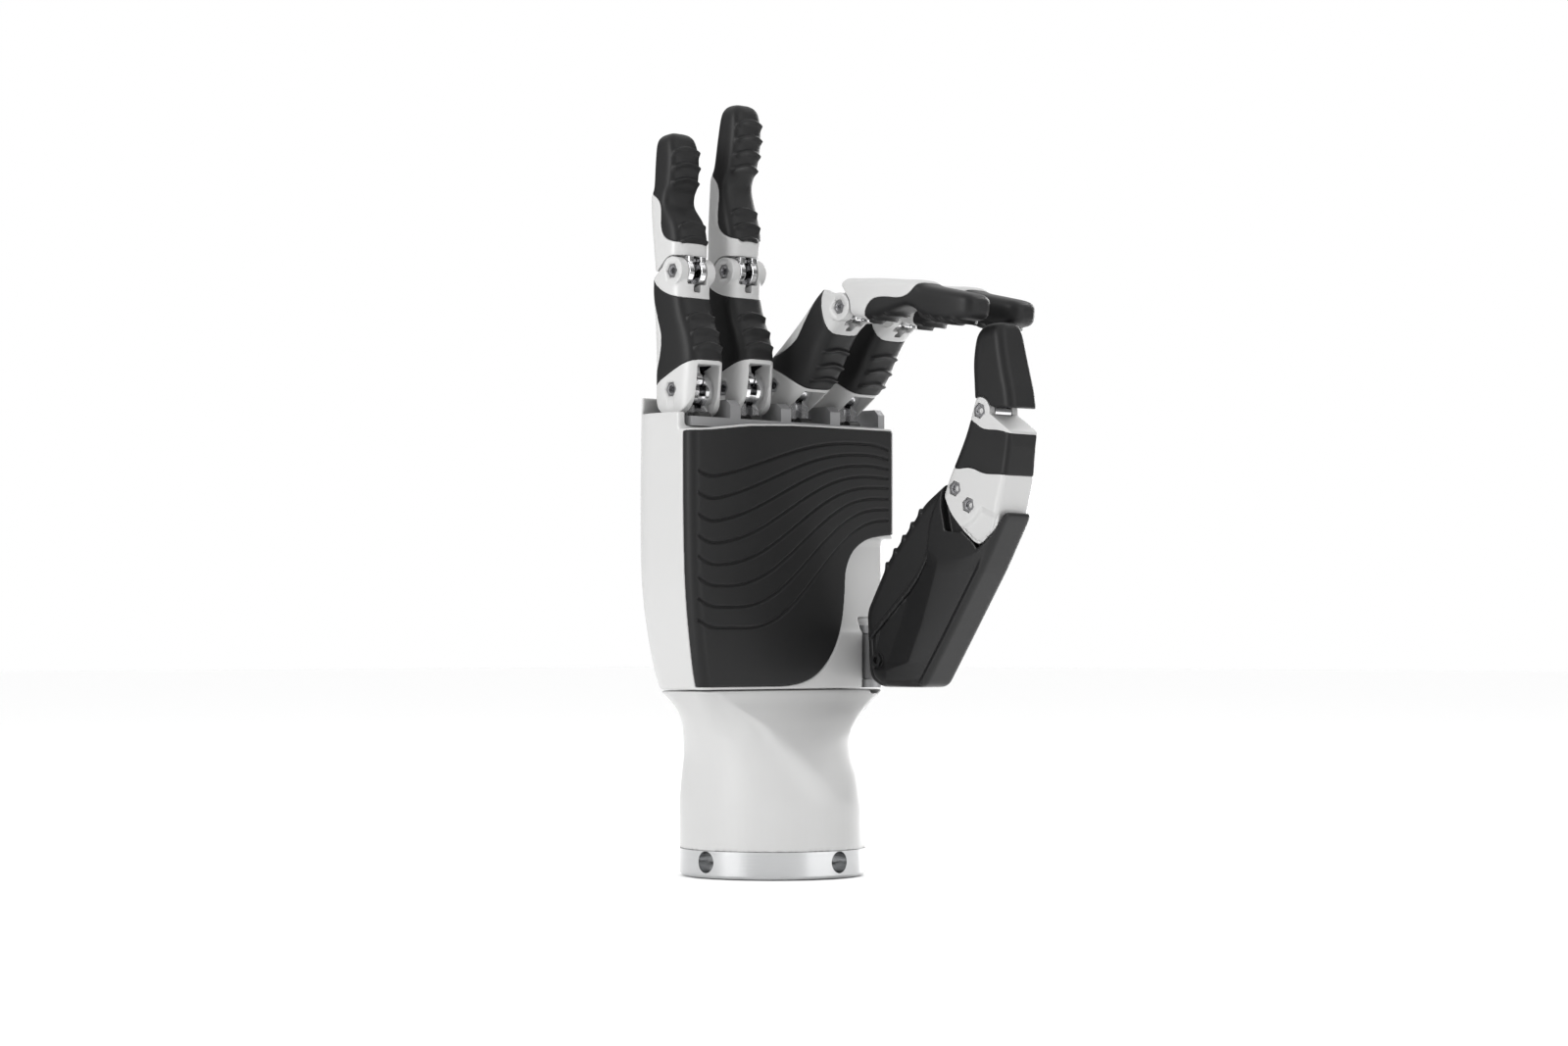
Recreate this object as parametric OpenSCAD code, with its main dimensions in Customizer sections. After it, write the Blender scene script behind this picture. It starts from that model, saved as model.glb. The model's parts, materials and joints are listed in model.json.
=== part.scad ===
// Five-finger dexterous robot hand, right hand, in a thumb-to-fingertip pinch.
// +Z points to the fingertips, the palm faces -Y and the thumb is on the +X side.
// The origin is the centre of the wrist flange's lower face.

/* [Wrist] */
// Outer diameter of the mounting flange
flange_d = 52.6; // [48:0.2:60]
// Height of the mounting flange
flange_h = 7.5; // [6:0.5:10]
// Diameter of the four radial locking holes in the flange
lock_hole_d = 6; // [3:0.5:6]
// Diameter of the screws under the flange
flange_screw_d = 3; // [2.5:0.5:4]
// Bore of the flange that seats on the robot arm's spigot
register_d = 31.5; // [28:0.5:32]
// Height of the seam between wrist and palm
seam_z = 52.2; // [48:0.2:58]

/* [Palm] */
// Palm beside the outer fingers, on each side
palm_side = 4; // [3.5:0.1:6]
// Thickness of the palm, pad included
palm_t = 27; // [26:0.5:33]
// Height of the palm's top edge
palm_top = 127; // [120:0.5:153]
// Thickness of the rubber palm pad
pad_t = 4; // [3:0.1:5]

/* [Fingers] */
// Distance between neighbouring fingers
finger_pitch = 20; // [19.5:0.5:22]
// Width of a finger at its knuckle
finger_w = 14; // [13.5:0.1:16.8]
// Thickness of each of the two ears at a finger's middle joint
ear_t = 3; // [2.5:0.1:3.3]
// Thickness of the chrome links
link_t = 2; // [1.8:0.1:2.4]
// Distance from knuckle pivot to middle pivot
link_l = 33; // [30:0.1:39.6]
// Length of the little finger's tip section
little_tip_l = 39.4; // [34:0.5:48]
// Length of the ring finger's tip section
ring_tip_l = 47.4; // [38:0.5:52]
// Length of the middle finger's tip section
middle_tip_l = 48; // [38:0.5:49]
// Length of the index finger's tip section
index_tip_l = 47; // [38:0.5:48]
// Bend at the knuckle of the pinching fingers
pinch_bend = 51; // [50:0.5:60]
// Turn of a finger's tip section for each degree at its knuckle
bend_ratio = 0.88; // [0.86:0.01:0.9]
// Diameter of the knuckle pins
knuckle_pin_d = 2.6; // [2:0.1:3]
// Diameter of the pins through the chrome links
link_pin_d = 2; // [1.6:0.1:2.4]

/* [Thumb] */
// Width of the thumb
thumb_w = 13.2; // [11:0.1:14]
// Distance from the thumb's knuckle to its joint
thumb_link_l = 22.7; // [20:0.1:27.2]
// Length of the thumb's tip section
thumb_tip_l = 23.5; // [20:0.1:28]
// Diameter of the thumb's vertical pivot pin
swivel_pin_d = 3.6; // [3:0.1:4.4]

/* [Fits] */
// Gap between faces that slide past each other
run_gap = 0.3; // [0.3:0.05:0.4]
// Radial gap of a pin in its hole
pin_fit = 0.05; // [0.03:0.01:0.08]
// Radial gap at the link's upper eye, which takes up the linkage's error
eye_gap = 0.3; // [0.25:0.05:0.4]

/* [Hidden] */
$fn = 48;
skin_sides = 20;
eps = 0.01;

WHITE = [0.93, 0.93, 0.92];
BLACK = [0.13, 0.13, 0.14];
CHROME = [0.75, 0.76, 0.78];
GREY = [0.55, 0.56, 0.57];
STEEL = [0.30, 0.31, 0.32];

// places of the knuckles: a finger's plane lies a little behind the palm's middle
finger_q = -3;
finger_x = [for (i = [0:3]) (i - 1.5)*finger_pitch];
knuckle_z = [for (rise = [8.3, 9.6, 11.5, 11]) palm_top + rise];
tip_l = [little_tip_l, ring_tip_l, middle_tip_l, index_tip_l];
bend = [0, 0, pinch_bend, pinch_bend];
// the little finger's tip section leans back a little, the ring finger's forward
tip_lean = [-5, 2.5, 0, 0];

// the parts of a knuckle, from its middle plane outwards
link_half = link_t/2;
lug_in = link_half + run_gap;
lug_out = lug_in + 2.6;
slot_half = lug_out + run_gap;
cheek_r = 7.4;
lug_r = 5.6;

// the parts of a middle joint
ear_w = finger_w - 0.8;
ear_r = 4;
hinge_out = ear_w/2 - ear_t - run_gap;

function leaned(v, a) = [v[0]*cos(a) + v[1]*sin(a), v[1]*cos(a) - v[0]*sin(a)];

// pivots of the chrome link: one on the palm's lug, one on the tip section's horn
anchor = [2.5, 2.9];
horn = [-3.2, 4.4];
link_len = norm([horn[0] - anchor[0], link_l + horn[1] - anchor[1]]) - 0.19;
link_lean = atan2(horn[0] - anchor[0], link_l + horn[1] - anchor[1]);
// the link's turn for each degree at the knuckle, taken most of the way to the pinch
swing_bend = 0.75*pinch_bend;
swing_to = leaned([0, link_l], swing_bend) + leaned(horn, swing_bend*(1 + bend_ratio)) - anchor;
link_ratio = round(1000*(atan2(swing_to[0], swing_to[1]) - link_lean)/swing_bend)/1000;
eye_r = 2.1;

// the pinch: the thumb's tip stops just under the two bent fingertips and between them
pinch_turn = pinch_bend*(1 + bend_ratio);
pinch_reach = finger_q + link_l*sin(pinch_bend) + middle_tip_l*sin(pinch_turn);
pinch_z = min([for (i = [2, 3])
    knuckle_z[i] + link_l*cos(pinch_bend) + 0.8*tip_l[i]*cos(pinch_turn) - 2.5*sin(pinch_turn)]);
pinch_gap = 0.5;

// thumb pivots, as distances in front of the hand's axis and heights
thumb_x = (finger_x[2] + finger_x[3])/2;
thumb_lean = 22;
thumb_tip_lean = -6;
thumb_joint = [pinch_reach - 4.6, pinch_z - pinch_gap - thumb_tip_l*cos(thumb_tip_lean)];
thumb_knuckle = thumb_joint - thumb_link_l*[sin(thumb_lean), cos(thumb_lean)];
thumb_rod_local = [6.3, -2.5];
thumb_ear_w = thumb_w - 1.2;
thumb_sweep = 18.9;
thumb_cheek_in = thumb_w/2 - 2.2;
thumb_range = 30;
thumb_hinge_half = thumb_ear_w/2 - 2.4 - run_gap;

// the thumb's vertical pivot, at the palm's lower corner
palm_w = 3*finger_pitch + finger_w + 2*palm_side;
palm_left = -palm_w/2;
palm_right = palm_w/2;
palm_front = 10;
palm_back = palm_t - palm_front;
swivel_at = [palm_right - 9.5, 7.8];
swivel_z = [seam_z + 2.8, seam_z + 15.4];
sleeve_r = swivel_pin_d/2 + 1.8;
bracket_t = 2.3;
bracket_z = [swivel_z[0] - run_gap - bracket_t, swivel_z[1] + run_gap];
root_notch_h = 20.3;

// ---------- shapes that repeat ----------

function spow(v, e) = sign(v)*pow(abs(v), e);

// one ring of a moulded skin at height z: half width, reach to the palm side and to the back
function ring(z, w, f, b, e = 0.5, x = 0) = [
    for (i = [0:skin_sides - 1]) let (t = 360*(i + 0.5)/skin_sides)
        [x + w*spow(cos(t), e), (b - f)/2 + (f + b)/2*spow(sin(t), e), z]
];

// one ring with round corners: left, right, front and back faces, front and back corner radii
function box_ring(z, x0, x1, f, b, rf, rb, n = 5) = [
    for (c = [[x1 - rf, rf - f, rf, 270], [x1 - rb, b - rb, rb, 0], [x0 + rb, b - rb, rb, 90], [x0 + rf, rf - f, rf, 180]],
         i = [0:n - 1])
        let (a = c[3] + 90*i/(n - 1)) [c[0] + c[2]*cos(a), c[1] + c[2]*sin(a), z]
];

function between(p, i, t) =
    let (a = p[max(i - 1, 0)], b = p[i], c = p[i + 1], d = p[min(i + 2, len(p) - 1)])
    0.5*(2*b + (c - a)*t + (2*a - 5*b + 4*c - d)*t*t + (3*b - a - 3*c + d)*t*t*t);

// stations [z, half width, palm-side reach, back reach] with extra rings between them
function smooth_stations(p, steps = 2) = [
    for (i = [0:len(p) - 2], k = [0:steps - 1]) between(p, i, k/steps),
    p[len(p) - 1]
];

module loft(rings) {
    n = len(rings[0]);
    m = len(rings);
    points = [for (r = rings) each r];
    sides = [
        for (j = [0:m - 2], i = [0:n - 1]) let (k = (i + 1)%n) each [
            [j*n + i, (j + 1)*n + i, (j + 1)*n + k],
            [j*n + i, (j + 1)*n + k, j*n + k]
        ]
    ];
    ends = [[for (i = [0:n - 1]) i], [for (i = [n - 1:-1:0]) (m - 1)*n + i]];
    polyhedron(points, concat(sides, ends));
}

module skin(stations, e = 0.5, x = 0, steps = 2)
    loft([for (s = smooth_stations(stations, steps)) ring(s[0], s[1], s[2], s[3], e, x)]);

// a side outline (distance to the palm side, height) spread across the width
module across(w)
    mirror([0, 1, 0]) rotate([90, 0, 90]) translate([0, 0, -w/2]) linear_extrude(w) children();

module disc_across(r, w, at = [0, 0])
    translate([0, -at[0], at[1]]) rotate([0, 90, 0]) cylinder(r = r, h = w, center = true);

module plate_pair(inner, outer)
    for (side = [-1, 1]) translate([side*(inner + outer)/2, 0, 0]) children();

// a pin along X with a hex socket in each end
module socket_pin(r, half, at = [0, 0], socket_r = 0.9) {
    difference() {
        disc_across(r, 2*half, at);
        for (side = [-1, 1])
            translate([side*half, -at[0], at[1]]) rotate([0, 90, 0])
                cylinder(r = socket_r, h = 2, center = true, $fn = 6);
    }
}

module hex_pocket(half, at, r = 2.3, deep = 1)
    for (side = [-1, 1])
        translate([side*half, -at[0], at[1]]) rotate([0, 90, 0])
            cylinder(r = r, h = 2*deep, center = true, $fn = 6);

// puts a finger's knuckle frame at its place in the hand
module at_knuckle(i) translate([finger_x[i], -finger_q, knuckle_z[i]]) rotate([bend[i], 0, 0]) children();
module at_middle(i) at_knuckle(i) translate([0, 0, link_l]) rotate([bend[i]*bend_ratio, 0, 0]) children();

// ---------- one finger ----------

// stations of the section between knuckle and middle joint
function near_stations() = let (w = finger_w/2, l = link_l) [
    [-9, w, 7.4, 7.6], [-3, w, 7.6, 8], [3, w, 8.2, 8.1], [9, w, 8.5, 8.1],
    [0.45*l, w - 0.1, 7.2, 8.3], [0.62*l, w - 0.2, 4.9, 8.6], [0.78*l, w - 0.3, 3.5, 9.2],
    [0.9*l, ear_w/2, 3.6, 9.4], [l + 5, ear_w/2, 4.2, 9]
];

module near_outline() {
    circle(r = cheek_r);
    translate([0, link_l]) circle(r = ear_r);
    polygon([
        [-cheek_r, 0], [-9, 3], [-9.2, link_l - 6], [-8.6, link_l - 1.6], [-6.6, link_l - 0.9],
        [-3.6, link_l + 1.6], [0, link_l + 1], [ear_r, link_l], [4.6, link_l - 5],
        [9, link_l*0.7], [9, 3], [cheek_r, 0]
    ]);
}

// the rubber sleeve's outline: it leaves the back strip, the base and the ears
module sleeve_outline()
    offset(r = -0.8) offset(r = 0.8) polygon([
        [-9.8, link_l + 0.6], [-6.4, link_l - 4], [-1.4, link_l - 6.6], [4, link_l - 7.8],
        [10, link_l - 8.2], [10, 8.4], [6, 7.4], [1.1, 5.4], [-3, 3.4], [-8.4, 0.6], [-9.8, -0.4],
        [-7.8, 3.2], [-5, 8], [-3.7, 14], [-4.9, 18], [-8, 26], [-9.2, 30]
    ]);

module near_slots() {
    // knuckle slot for the lug, open below and in front
    across(2*slot_half) {
        circle(r = 6.2);
        translate([-6.2, -12]) square([12.4, 12]);
        translate([0, -12]) square([12, 18.8]);
    }
    // middle slot for the hinge
    across(2*(hinge_out + run_gap)) {
        translate([0, link_l]) circle(r = ear_r + run_gap);
        translate([-12, link_l - 3.6]) square([24, 14]);
    }
    // channel that the chrome link swings in
    across(2*lug_in) polygon([
        [-4.3, 2], [-2.3, 18], [-3.1, 26], [-5.4, link_l + 1], [-5.4, link_l + 9],
        [5.4, link_l + 9], [5.4, link_l], [3.2, link_l - 6], [2.3, 18], [4.4, 3]
    ]);
}

module near_section() {
    intersection() {
        skin(near_stations());
        across(2*finger_w) near_outline();
    }
}

module core_block() across(2*lug_in + 5) polygon([
    [-5.6, 0], [-5, 18], [-5.6, link_l - 2], [1.8, link_l - 3], [1.8, link_l - 10], [4.2, 14], [5.6, 4]
]);

module finger_frame(i) color(WHITE) at_knuckle(i) difference() {
    near_section();
    difference() {
        across(2*finger_w) sleeve_outline();
        core_block();
    }
    near_slots();
    disc_across(knuckle_pin_d/2 + pin_fit, 2*finger_w);
    hex_pocket(finger_w/2, [0, 0]);
    disc_across(knuckle_pin_d/2 + pin_fit, 2*finger_w, [0, link_l]);
    hex_pocket(ear_w/2, [0, link_l], 2.4, 0.7);
}

module finger_grip(i) color(BLACK) at_knuckle(i) difference() {
    intersection() {
        near_section();
        across(2*finger_w) sleeve_outline();
    }
    core_block();
    near_slots();
}

module finger_knuckle_pin(i) color(STEEL) at_knuckle(i) socket_pin(knuckle_pin_d/2, finger_w/2 - 1);

module finger_link(i) color(CHROME)
    translate([finger_x[i], -finger_q, knuckle_z[i]])
        translate([0, -anchor[0], anchor[1]])
            rotate([link_lean + bend[i]*link_ratio, 0, 0])
                difference() {
                    across(2*link_half) {
                        circle(r = eye_r);
                        translate([0, link_len]) circle(r = eye_r);
                        translate([-1.3, 0]) square([2.6, link_len]);
                    }
                    disc_across(link_pin_d/2 + pin_fit, 4*link_half);
                    disc_across(link_pin_d/2 + eye_gap, 4*link_half, [0, link_len]);
                }

// stations of the tip section, whose pivot lies near its palm side
function far_stations(l) = [
    [-5, ear_w/2, 2.6, 8.3], [4, ear_w/2, 2.6, 8.4], [9, ear_w/2, 3.2, 8.6], [14, ear_w/2 - 0.1, 2.2, 8.7],
    [0.48*l, 6.1, -0.8, 8.6], [0.56*l, 5.9, -0.4, 8.6], [0.63*l, 5.8, 1.2, 7.4], [0.8*l, 5.7, 2.4, 6.4],
    [0.93*l, 5.2, 1.8, 5.6], [0.98*l, 4, 0.8, 4.6], [l, 2.2, -0.6, 3.2]
];

// underside of the tip section: it follows the ear and drops behind it
module far_outline(l) difference() {
    translate([-12, -1.4]) square([24, l + 8]);
    circle(r = ear_r + run_gap);
    translate([-5.6, -4]) square([20, 4]);
    polygon([[0, ear_r + run_gap], [14, ear_r + run_gap], [14, -8], [0, -8]]);
    polygon([[-3, 3.1], [-6.2, 0.2], [-9, 1], [-12, 3], [-12, -5], [0, -5]]);
}

module tip_outline(l)
    offset(r = -0.8) offset(r = 0.8) polygon([
        [-12, 0.67*l], [-8.2, 0.6*l], [-4.6, 0.54*l], [-3.2, 0.47*l], [-3.5, 0.33*l], [-2.7, 0.26*l],
        [-0.6, 0.22*l], [3, 0.19*l], [12, 0.175*l], [12, l + 5], [-12, l + 5]
    ]);

module far_section(i) intersection() {
    rotate([tip_lean[i], 0, 0]) skin(far_stations(tip_l[i]));
    across(2*finger_w) far_outline(tip_l[i]);
}

// the chrome fork inside the tip section, with a slot for the link between its cheeks
module hinge_fork(half) {
    difference() {
        intersection() {
            across(2*half) {
                circle(r = ear_r - 0.1);
                translate([-4.9, 0]) square([6.2, 12]);
                translate(horn) circle(r = 2.2);
            }
            translate([0, 0, 4]) cube([2*half, 20, 22], center = true);
        }
        across(2*lug_in) {
            translate([-8, -6]) square([16, 14.4]);
        }
        disc_across(knuckle_pin_d/2 + pin_fit, 4*half);
        disc_across(link_pin_d/2 + pin_fit, 4*half, horn);
    }
}

module finger_hinge(i) color(CHROME) at_middle(i) hinge_fork(hinge_out);

module finger_hinge_pins(i) color(STEEL) at_middle(i) {
    for (side = [-1, 1])
        difference() {
            translate([side*(lug_in + ear_w/2 - 0.7)/2, 0, 0])
                disc_across(knuckle_pin_d/2, ear_w/2 - 0.7 - lug_in);
            translate([side*(ear_w/2 - 0.7), 0, 0]) rotate([0, 90, 0])
                cylinder(r = 0.9, h = 2, center = true, $fn = 6);
        }
    disc_across(link_pin_d/2, 2*hinge_out - 0.4, horn);
}

module hinge_seat(half) {
    across(2*half) {
        translate([-5, 0]) square([6.4, 12.1]);
        translate([-7, -2]) square([12, 10]);
    }
}

module finger_shell(i) color(WHITE) at_middle(i) difference() {
    far_section(i);
    rotate([tip_lean[i], 0, 0]) across(2*finger_w) tip_outline(tip_l[i]);
    hinge_seat(hinge_out + 0.02);
}

module finger_tip(i) color(BLACK) at_middle(i) difference() {
    intersection() {
        far_section(i);
        rotate([tip_lean[i], 0, 0]) across(2*finger_w) tip_outline(tip_l[i]);
    }
    hinge_seat(hinge_out + 0.02);
}

// ---------- wrist ----------

bolt_circle_r = (flange_d + register_d)/4;

module wrist_flange() color(GREY) difference() {
    rotate_extrude() polygon([
        [register_d/2, 0], [flange_d/2 - 0.8, 0], [flange_d/2, 0.8], [flange_d/2, flange_h],
        [register_d/2, flange_h]
    ]);
    for (a = [0:90:270])
        rotate([0, 0, a]) translate([flange_d/2, 0, flange_h - lock_hole_d/2 - 0.1]) rotate([0, 90, 0])
            cylinder(d = lock_hole_d, h = 10, center = true);
    for (a = [45:90:315])
        rotate([0, 0, a]) translate([bolt_circle_r, 0, 0]) {
            cylinder(d = flange_screw_d + 0.4, h = 3*flange_h, center = true);
            cylinder(d = flange_screw_d + 2.8, h = 2*3.2, center = true);
        }
}

module flange_screws() color(STEEL)
    for (a = [45:90:315])
        rotate([0, 0, a]) translate([bolt_circle_r, 0, 0]) difference() {
            union() {
                translate([0, 0, 0.4]) cylinder(d = flange_screw_d + 2.6, h = 2.8);
                translate([0, 0, 3]) cylinder(d = flange_screw_d, h = flange_h + 1);
            }
            cylinder(d = flange_screw_d, h = 3, center = true, $fn = 6);
        }

// round socket plate that rests on the flange and faces the arm
module wrist_connector() color(STEEL) translate([0, 0, flange_h]) difference() {
    union() {
        cylinder(d = register_d + 5.4, h = 1.6);
        cylinder(d = 20, h = 6.5);
    }
    translate([0, 0, -1]) difference() {
        cylinder(d = 16, h = 5);
        cylinder(d = 11, h = 5);
    }
}

bay_w = 42;
bay_top = seam_z - 7.2;

// stations of the wrist's skin: height, left, right, front, back, front and back corner radii
function wrist_stations() = let (r = flange_d/2 - 0.1, h = seam_z - flange_h) [
    [flange_h, -r, r, r, r, r, r], [flange_h + 0.18*h, -r, r, r, r, r, r], [flange_h + 0.32*h, -r, r, r, r, r, r],
    [flange_h + 0.46*h, -r, r, r - 2.2, r - 2, r - 2.2, r - 2],
    [flange_h + 0.6*h, -r - 0.2, r - 0.8, r - 6, r - 5.2, r - 6, r - 5.4],
    [flange_h + 0.72*h, -r - 0.8, r - 0.4, r - 10.2, r - 8.4, 15, 16],
    [flange_h + 0.82*h, -r - 2.8, r + 2.6, r - 13, r - 10.6, 11, 14],
    [flange_h + 0.91*h, palm_left + 8.8, palm_right - 7.6, 10.6, 13.8, 7, 11.5],
    [seam_z - 0.3, palm_left + 5, palm_right - 3, palm_front - 0.2, palm_back - 3, 4.6, 9.8]
];

module wrist_housing() color(WHITE) difference() {
    loft([for (s = smooth_stations(wrist_stations())) box_ring(s[0], s[1], s[2], s[3], s[4], s[5], s[6], 8)]);
    // notch under the thumb's root
    translate([palm_right - 11, -palm_front - 2, seam_z - 1.6]) cube([4.8, 7, 5]);
    // electronics bay, open to the flange
    translate([0, 0, flange_h - 1]) cylinder(d = register_d + 6, h = bay_top - flange_h - 10);
    translate([0, 0, bay_top - 15]) cube([bay_w, 17, 30], center = true);
    for (a = [45:90:315])
        rotate([0, 0, a]) translate([bolt_circle_r, 0, flange_h - 1])
            cylinder(d = flange_screw_d + 2*pin_fit, h = 5.5);
}

// board that stands in the wrist's bay, its edges held by the bay's side walls
module control_board() color([0.05, 0.25, 0.12]) translate([0, 0, bay_top - 15]) {
    cube([bay_w - 0.4, 1.6, 27], center = true);
    translate([0, -2.2, 2]) cube([12, 2.8, 12], center = true);
    translate([0, 3.2, -9]) cube([14, 4.8, 6], center = true);
}

// ---------- palm ----------

actuator_y = 3;
actuator_z = seam_z + 24;

// stations of the palm's skin: height, left, right, front, back, front and back corner radii
function palm_stations() = [
    [seam_z, palm_left + 5, palm_right - 3, palm_front - 0.2, palm_back - 3, 3, 9.8],
    [seam_z + 9, palm_left + 3.2, palm_right - 1.6, palm_front, palm_back - 1.4, 3, 9.8],
    [seam_z + 27, palm_left + 1, palm_right - 0.4, palm_front, palm_back, 3, 9.8],
    [seam_z + 48, palm_left + 0.2, palm_right, palm_front, palm_back, 3, 9.8],
    [palm_top + 6.4, palm_left, palm_right, palm_front, palm_back - 0.6, 3, 9.8]
];

module palm_skin() loft([
    for (s = smooth_stations(palm_stations(), 2)) box_ring(s[0], s[1], s[2], s[3], s[4], s[5], s[6], 6)
]);

// the palm is open above, with a side wall by the little finger and a higher back wall
side_wall_top = palm_top + 1.7;
back_wall_q = finger_q - 9.6;

module palm_top_cut() {
    translate([palm_left + palm_side - 1.4, -60, palm_top]) cube([palm_w, 60 - back_wall_q, 40]);
    translate([palm_left - 1, -60, side_wall_top]) cube([palm_w + 2, 60 - back_wall_q, 40]);
    translate([0, -palm_front + pad_t + 1.5, 0]) rotate([90, 0, 0]) linear_extrude(40) polygon([
        [palm_left - 5, palm_top - 3.4], [palm_left + 6, palm_top - 2.8], [palm_left + 22, palm_top - 1],
        [palm_left + 40, palm_top - 0.2], [palm_right + 5, palm_top], [palm_right + 5, palm_top + 30],
        [palm_left - 5, palm_top + 30]
    ]);
}

// outline of the rubber pad in front view, cut away at the thumb's root
module pad_outline() offset(r = 2.4) offset(r = -2.4) polygon([
    [palm_left - 20, seam_z + 0.8], [palm_right - 45, seam_z + 0.8], [palm_right - 37, seam_z + 2],
    [palm_right - 31, seam_z + 5.2], [palm_right - 26, seam_z + 10.8], [palm_right - 22.6, seam_z + 18.8],
    [palm_right - 21.6, seam_z + 27.8], [palm_right - 21.4, seam_z + 33.8], [palm_right - 18.6, seam_z + 39.2],
    [palm_right - 13, seam_z + 42.6], [palm_right - 5, seam_z + 44.2], [palm_right + 20, seam_z + 44.6],
    [palm_right + 20, palm_top - 0.6], [palm_left + 40, palm_top - 0.9], [palm_left + 22, palm_top - 1.7],
    [palm_left + 6, palm_top - 3.5], [palm_left - 20, palm_top - 4.2]
]);

// ground of the pad, and the hollow beside it at the thumb's root
module face_zone() {
    translate([0, -palm_front + pad_t, 0]) rotate([90, 0, 0]) linear_extrude(20) pad_outline();
    translate([palm_right - 42, 0, 0]) rotate([90, 0, 90]) linear_extrude(60) offset(r = -3) offset(r = 3) polygon([
        [-palm_front - 20, seam_z + 15], [-palm_front, seam_z + 15], [-palm_front + 2.2, seam_z + 20],
        [-palm_front + 3.6, seam_z + 27], [-palm_front + 3.8, seam_z + 43], [-palm_front - 20, seam_z + 43]
    ]);
}

// notch that the thumb's swivel stands and turns in, and the rounded corner above it
module thumb_root() {
    translate([swivel_at[0], -swivel_at[1], seam_z - 1]) linear_extrude(1 + root_notch_h) {
        circle(r = sleeve_r + 1.2);
        translate([-sleeve_r - 1.2, -40]) square([60, 40]);
        translate([0, -40]) square([60, 40 + sleeve_r + 1.2]);
    }
    translate([0, 0, seam_z + root_notch_h - 1]) linear_extrude(44 - root_notch_h) difference() {
        translate([palm_right - 9, -palm_front - 1]) square([20, palm_front + 4.5]);
        translate([palm_right - 9, -palm_front + 13.5]) scale([1, 1.5]) circle(r = 9);
    }
}

module actuator_bores(r) for (i = [0:3])
    translate([finger_x[i], actuator_y, actuator_z]) cylinder(r = r, h = palm_top);

// recess in the palm's top that the knuckle bar is let into
module bar_seat() translate([palm_left + palm_side - 1.4, -5.4, bar_top - bar_h]) cube([palm_w, 14.6, 20]);

module palm_housing() color(WHITE) difference() {
    palm_skin();
    palm_top_cut();
    bar_seat();
    face_zone();
    thumb_root();
    actuator_bores(5.2);
    back_zone(0);
    cover_screw_holes(1);
    bracket_plates();
}

module palm_pad() color(BLACK) intersection() {
    palm_skin();
    translate([0, -palm_front + pad_t, 0]) rotate([90, 0, 0]) linear_extrude(20) pad_outline();
}

module back_outline() offset(r = 6) offset(delta = -6) polygon([
    [palm_left + 13, seam_z + 8], [palm_right - 12, seam_z + 8], [palm_right - 9, seam_z + 30],
    [palm_right - 9, palm_top - 8], [palm_left + 9, palm_top - 8], [palm_left + 9, seam_z + 30]
]);

module back_zone(grow) translate([0, 60 + palm_back - 2.2, 0]) rotate([90, 0, 0])
    linear_extrude(60) offset(r = grow) back_outline();

cover_screws_at = [
    [palm_left + 17, seam_z + 13.5], [palm_right - 16, seam_z + 13.5],
    [palm_left + 14.5, palm_top - 13.5], [palm_right - 14.5, palm_top - 13.5]
];

module cover_screw_holes(r) for (p = cover_screws_at)
    translate([p[0], palm_back - 10, p[1]]) rotate([-90, 0, 0]) cylinder(r = r, h = 12);

module back_cover() color(WHITE) difference() {
    intersection() {
        palm_skin();
        back_zone(-0.15);
    }
    for (p = cover_screws_at)
        translate([p[0], 0, p[1]]) rotate([-90, 0, 0]) {
            cylinder(r = 1.1, h = 30);
            translate([0, 0, palm_back - 1.2]) cylinder(r = 2.1, h = 10);
        }
}

module cover_screws() color(STEEL)
    for (p = cover_screws_at)
        translate([p[0], palm_back - 1.2, p[1]]) rotate([-90, 0, 0]) difference() {
            union() {
                cylinder(r = 2, h = 1);
                translate([0, 0, -7]) cylinder(r = 1, h = 7.2);
            }
            translate([0, 0, 1]) cylinder(r = 0.9, h = 1, center = true, $fn = 6);
        }

// grey bar over the palm, with a post beside each finger
bar_top = palm_top + 0.6;
bar_h = 2.6;

post_h = 5.2;
post_w = finger_pitch - finger_w - 2;

module knuckle_frame() color(GREY) {
    difference() {
        translate([palm_left + palm_side, -5.4, bar_top - bar_h])
            cube([palm_w - palm_side - 0.4, 14.6, bar_h]);
        actuator_bores(3.2);
    }
    for (i = [0:3])
        translate([finger_x[i] + finger_w/2 + 1, -5.4, bar_top - eps]) rotate([90, 0, 90])
            linear_extrude(i < 3 ? post_w : palm_side - 1.4)
                polygon([[0, 0], [0, post_h - 1.6], [1.6, post_h], [9, post_h], [9, 0]]);
}

// chrome forks that carry the knuckle pins and the links' lower pins
module knuckle_lugs() color(CHROME)
    for (i = [0:3])
        translate([finger_x[i], -finger_q, knuckle_z[i]]) difference() {
            union() {
                plate_pair(lug_in, lug_out) across(lug_out - lug_in) {
                    circle(r = lug_r);
                    translate([-3.6, bar_top - knuckle_z[i]]) square([7.2, knuckle_z[i] - bar_top]);
                }
                // web between the two plates, below the link
                across(2*lug_in) intersection() {
                    circle(r = lug_r - 0.6);
                    translate([-lug_r, -lug_r]) square([2*lug_r, lug_r - 1.8]);
                }
            }
            disc_across(knuckle_pin_d/2 + pin_fit, 4*lug_out);
            disc_across(link_pin_d/2 + pin_fit, 4*lug_out, anchor);
        }

module knuckle_bumpers() color(BLACK)
    for (i = [0:3])
        translate([finger_x[i], -finger_q - 5.25, bar_top]) intersection() {
            rotate([0, 90, 0]) cylinder(r = 1.6, h = 4.4, center = true);
            translate([0, 0, 5]) cube([6, 4, 10], center = true);
        }

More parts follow.
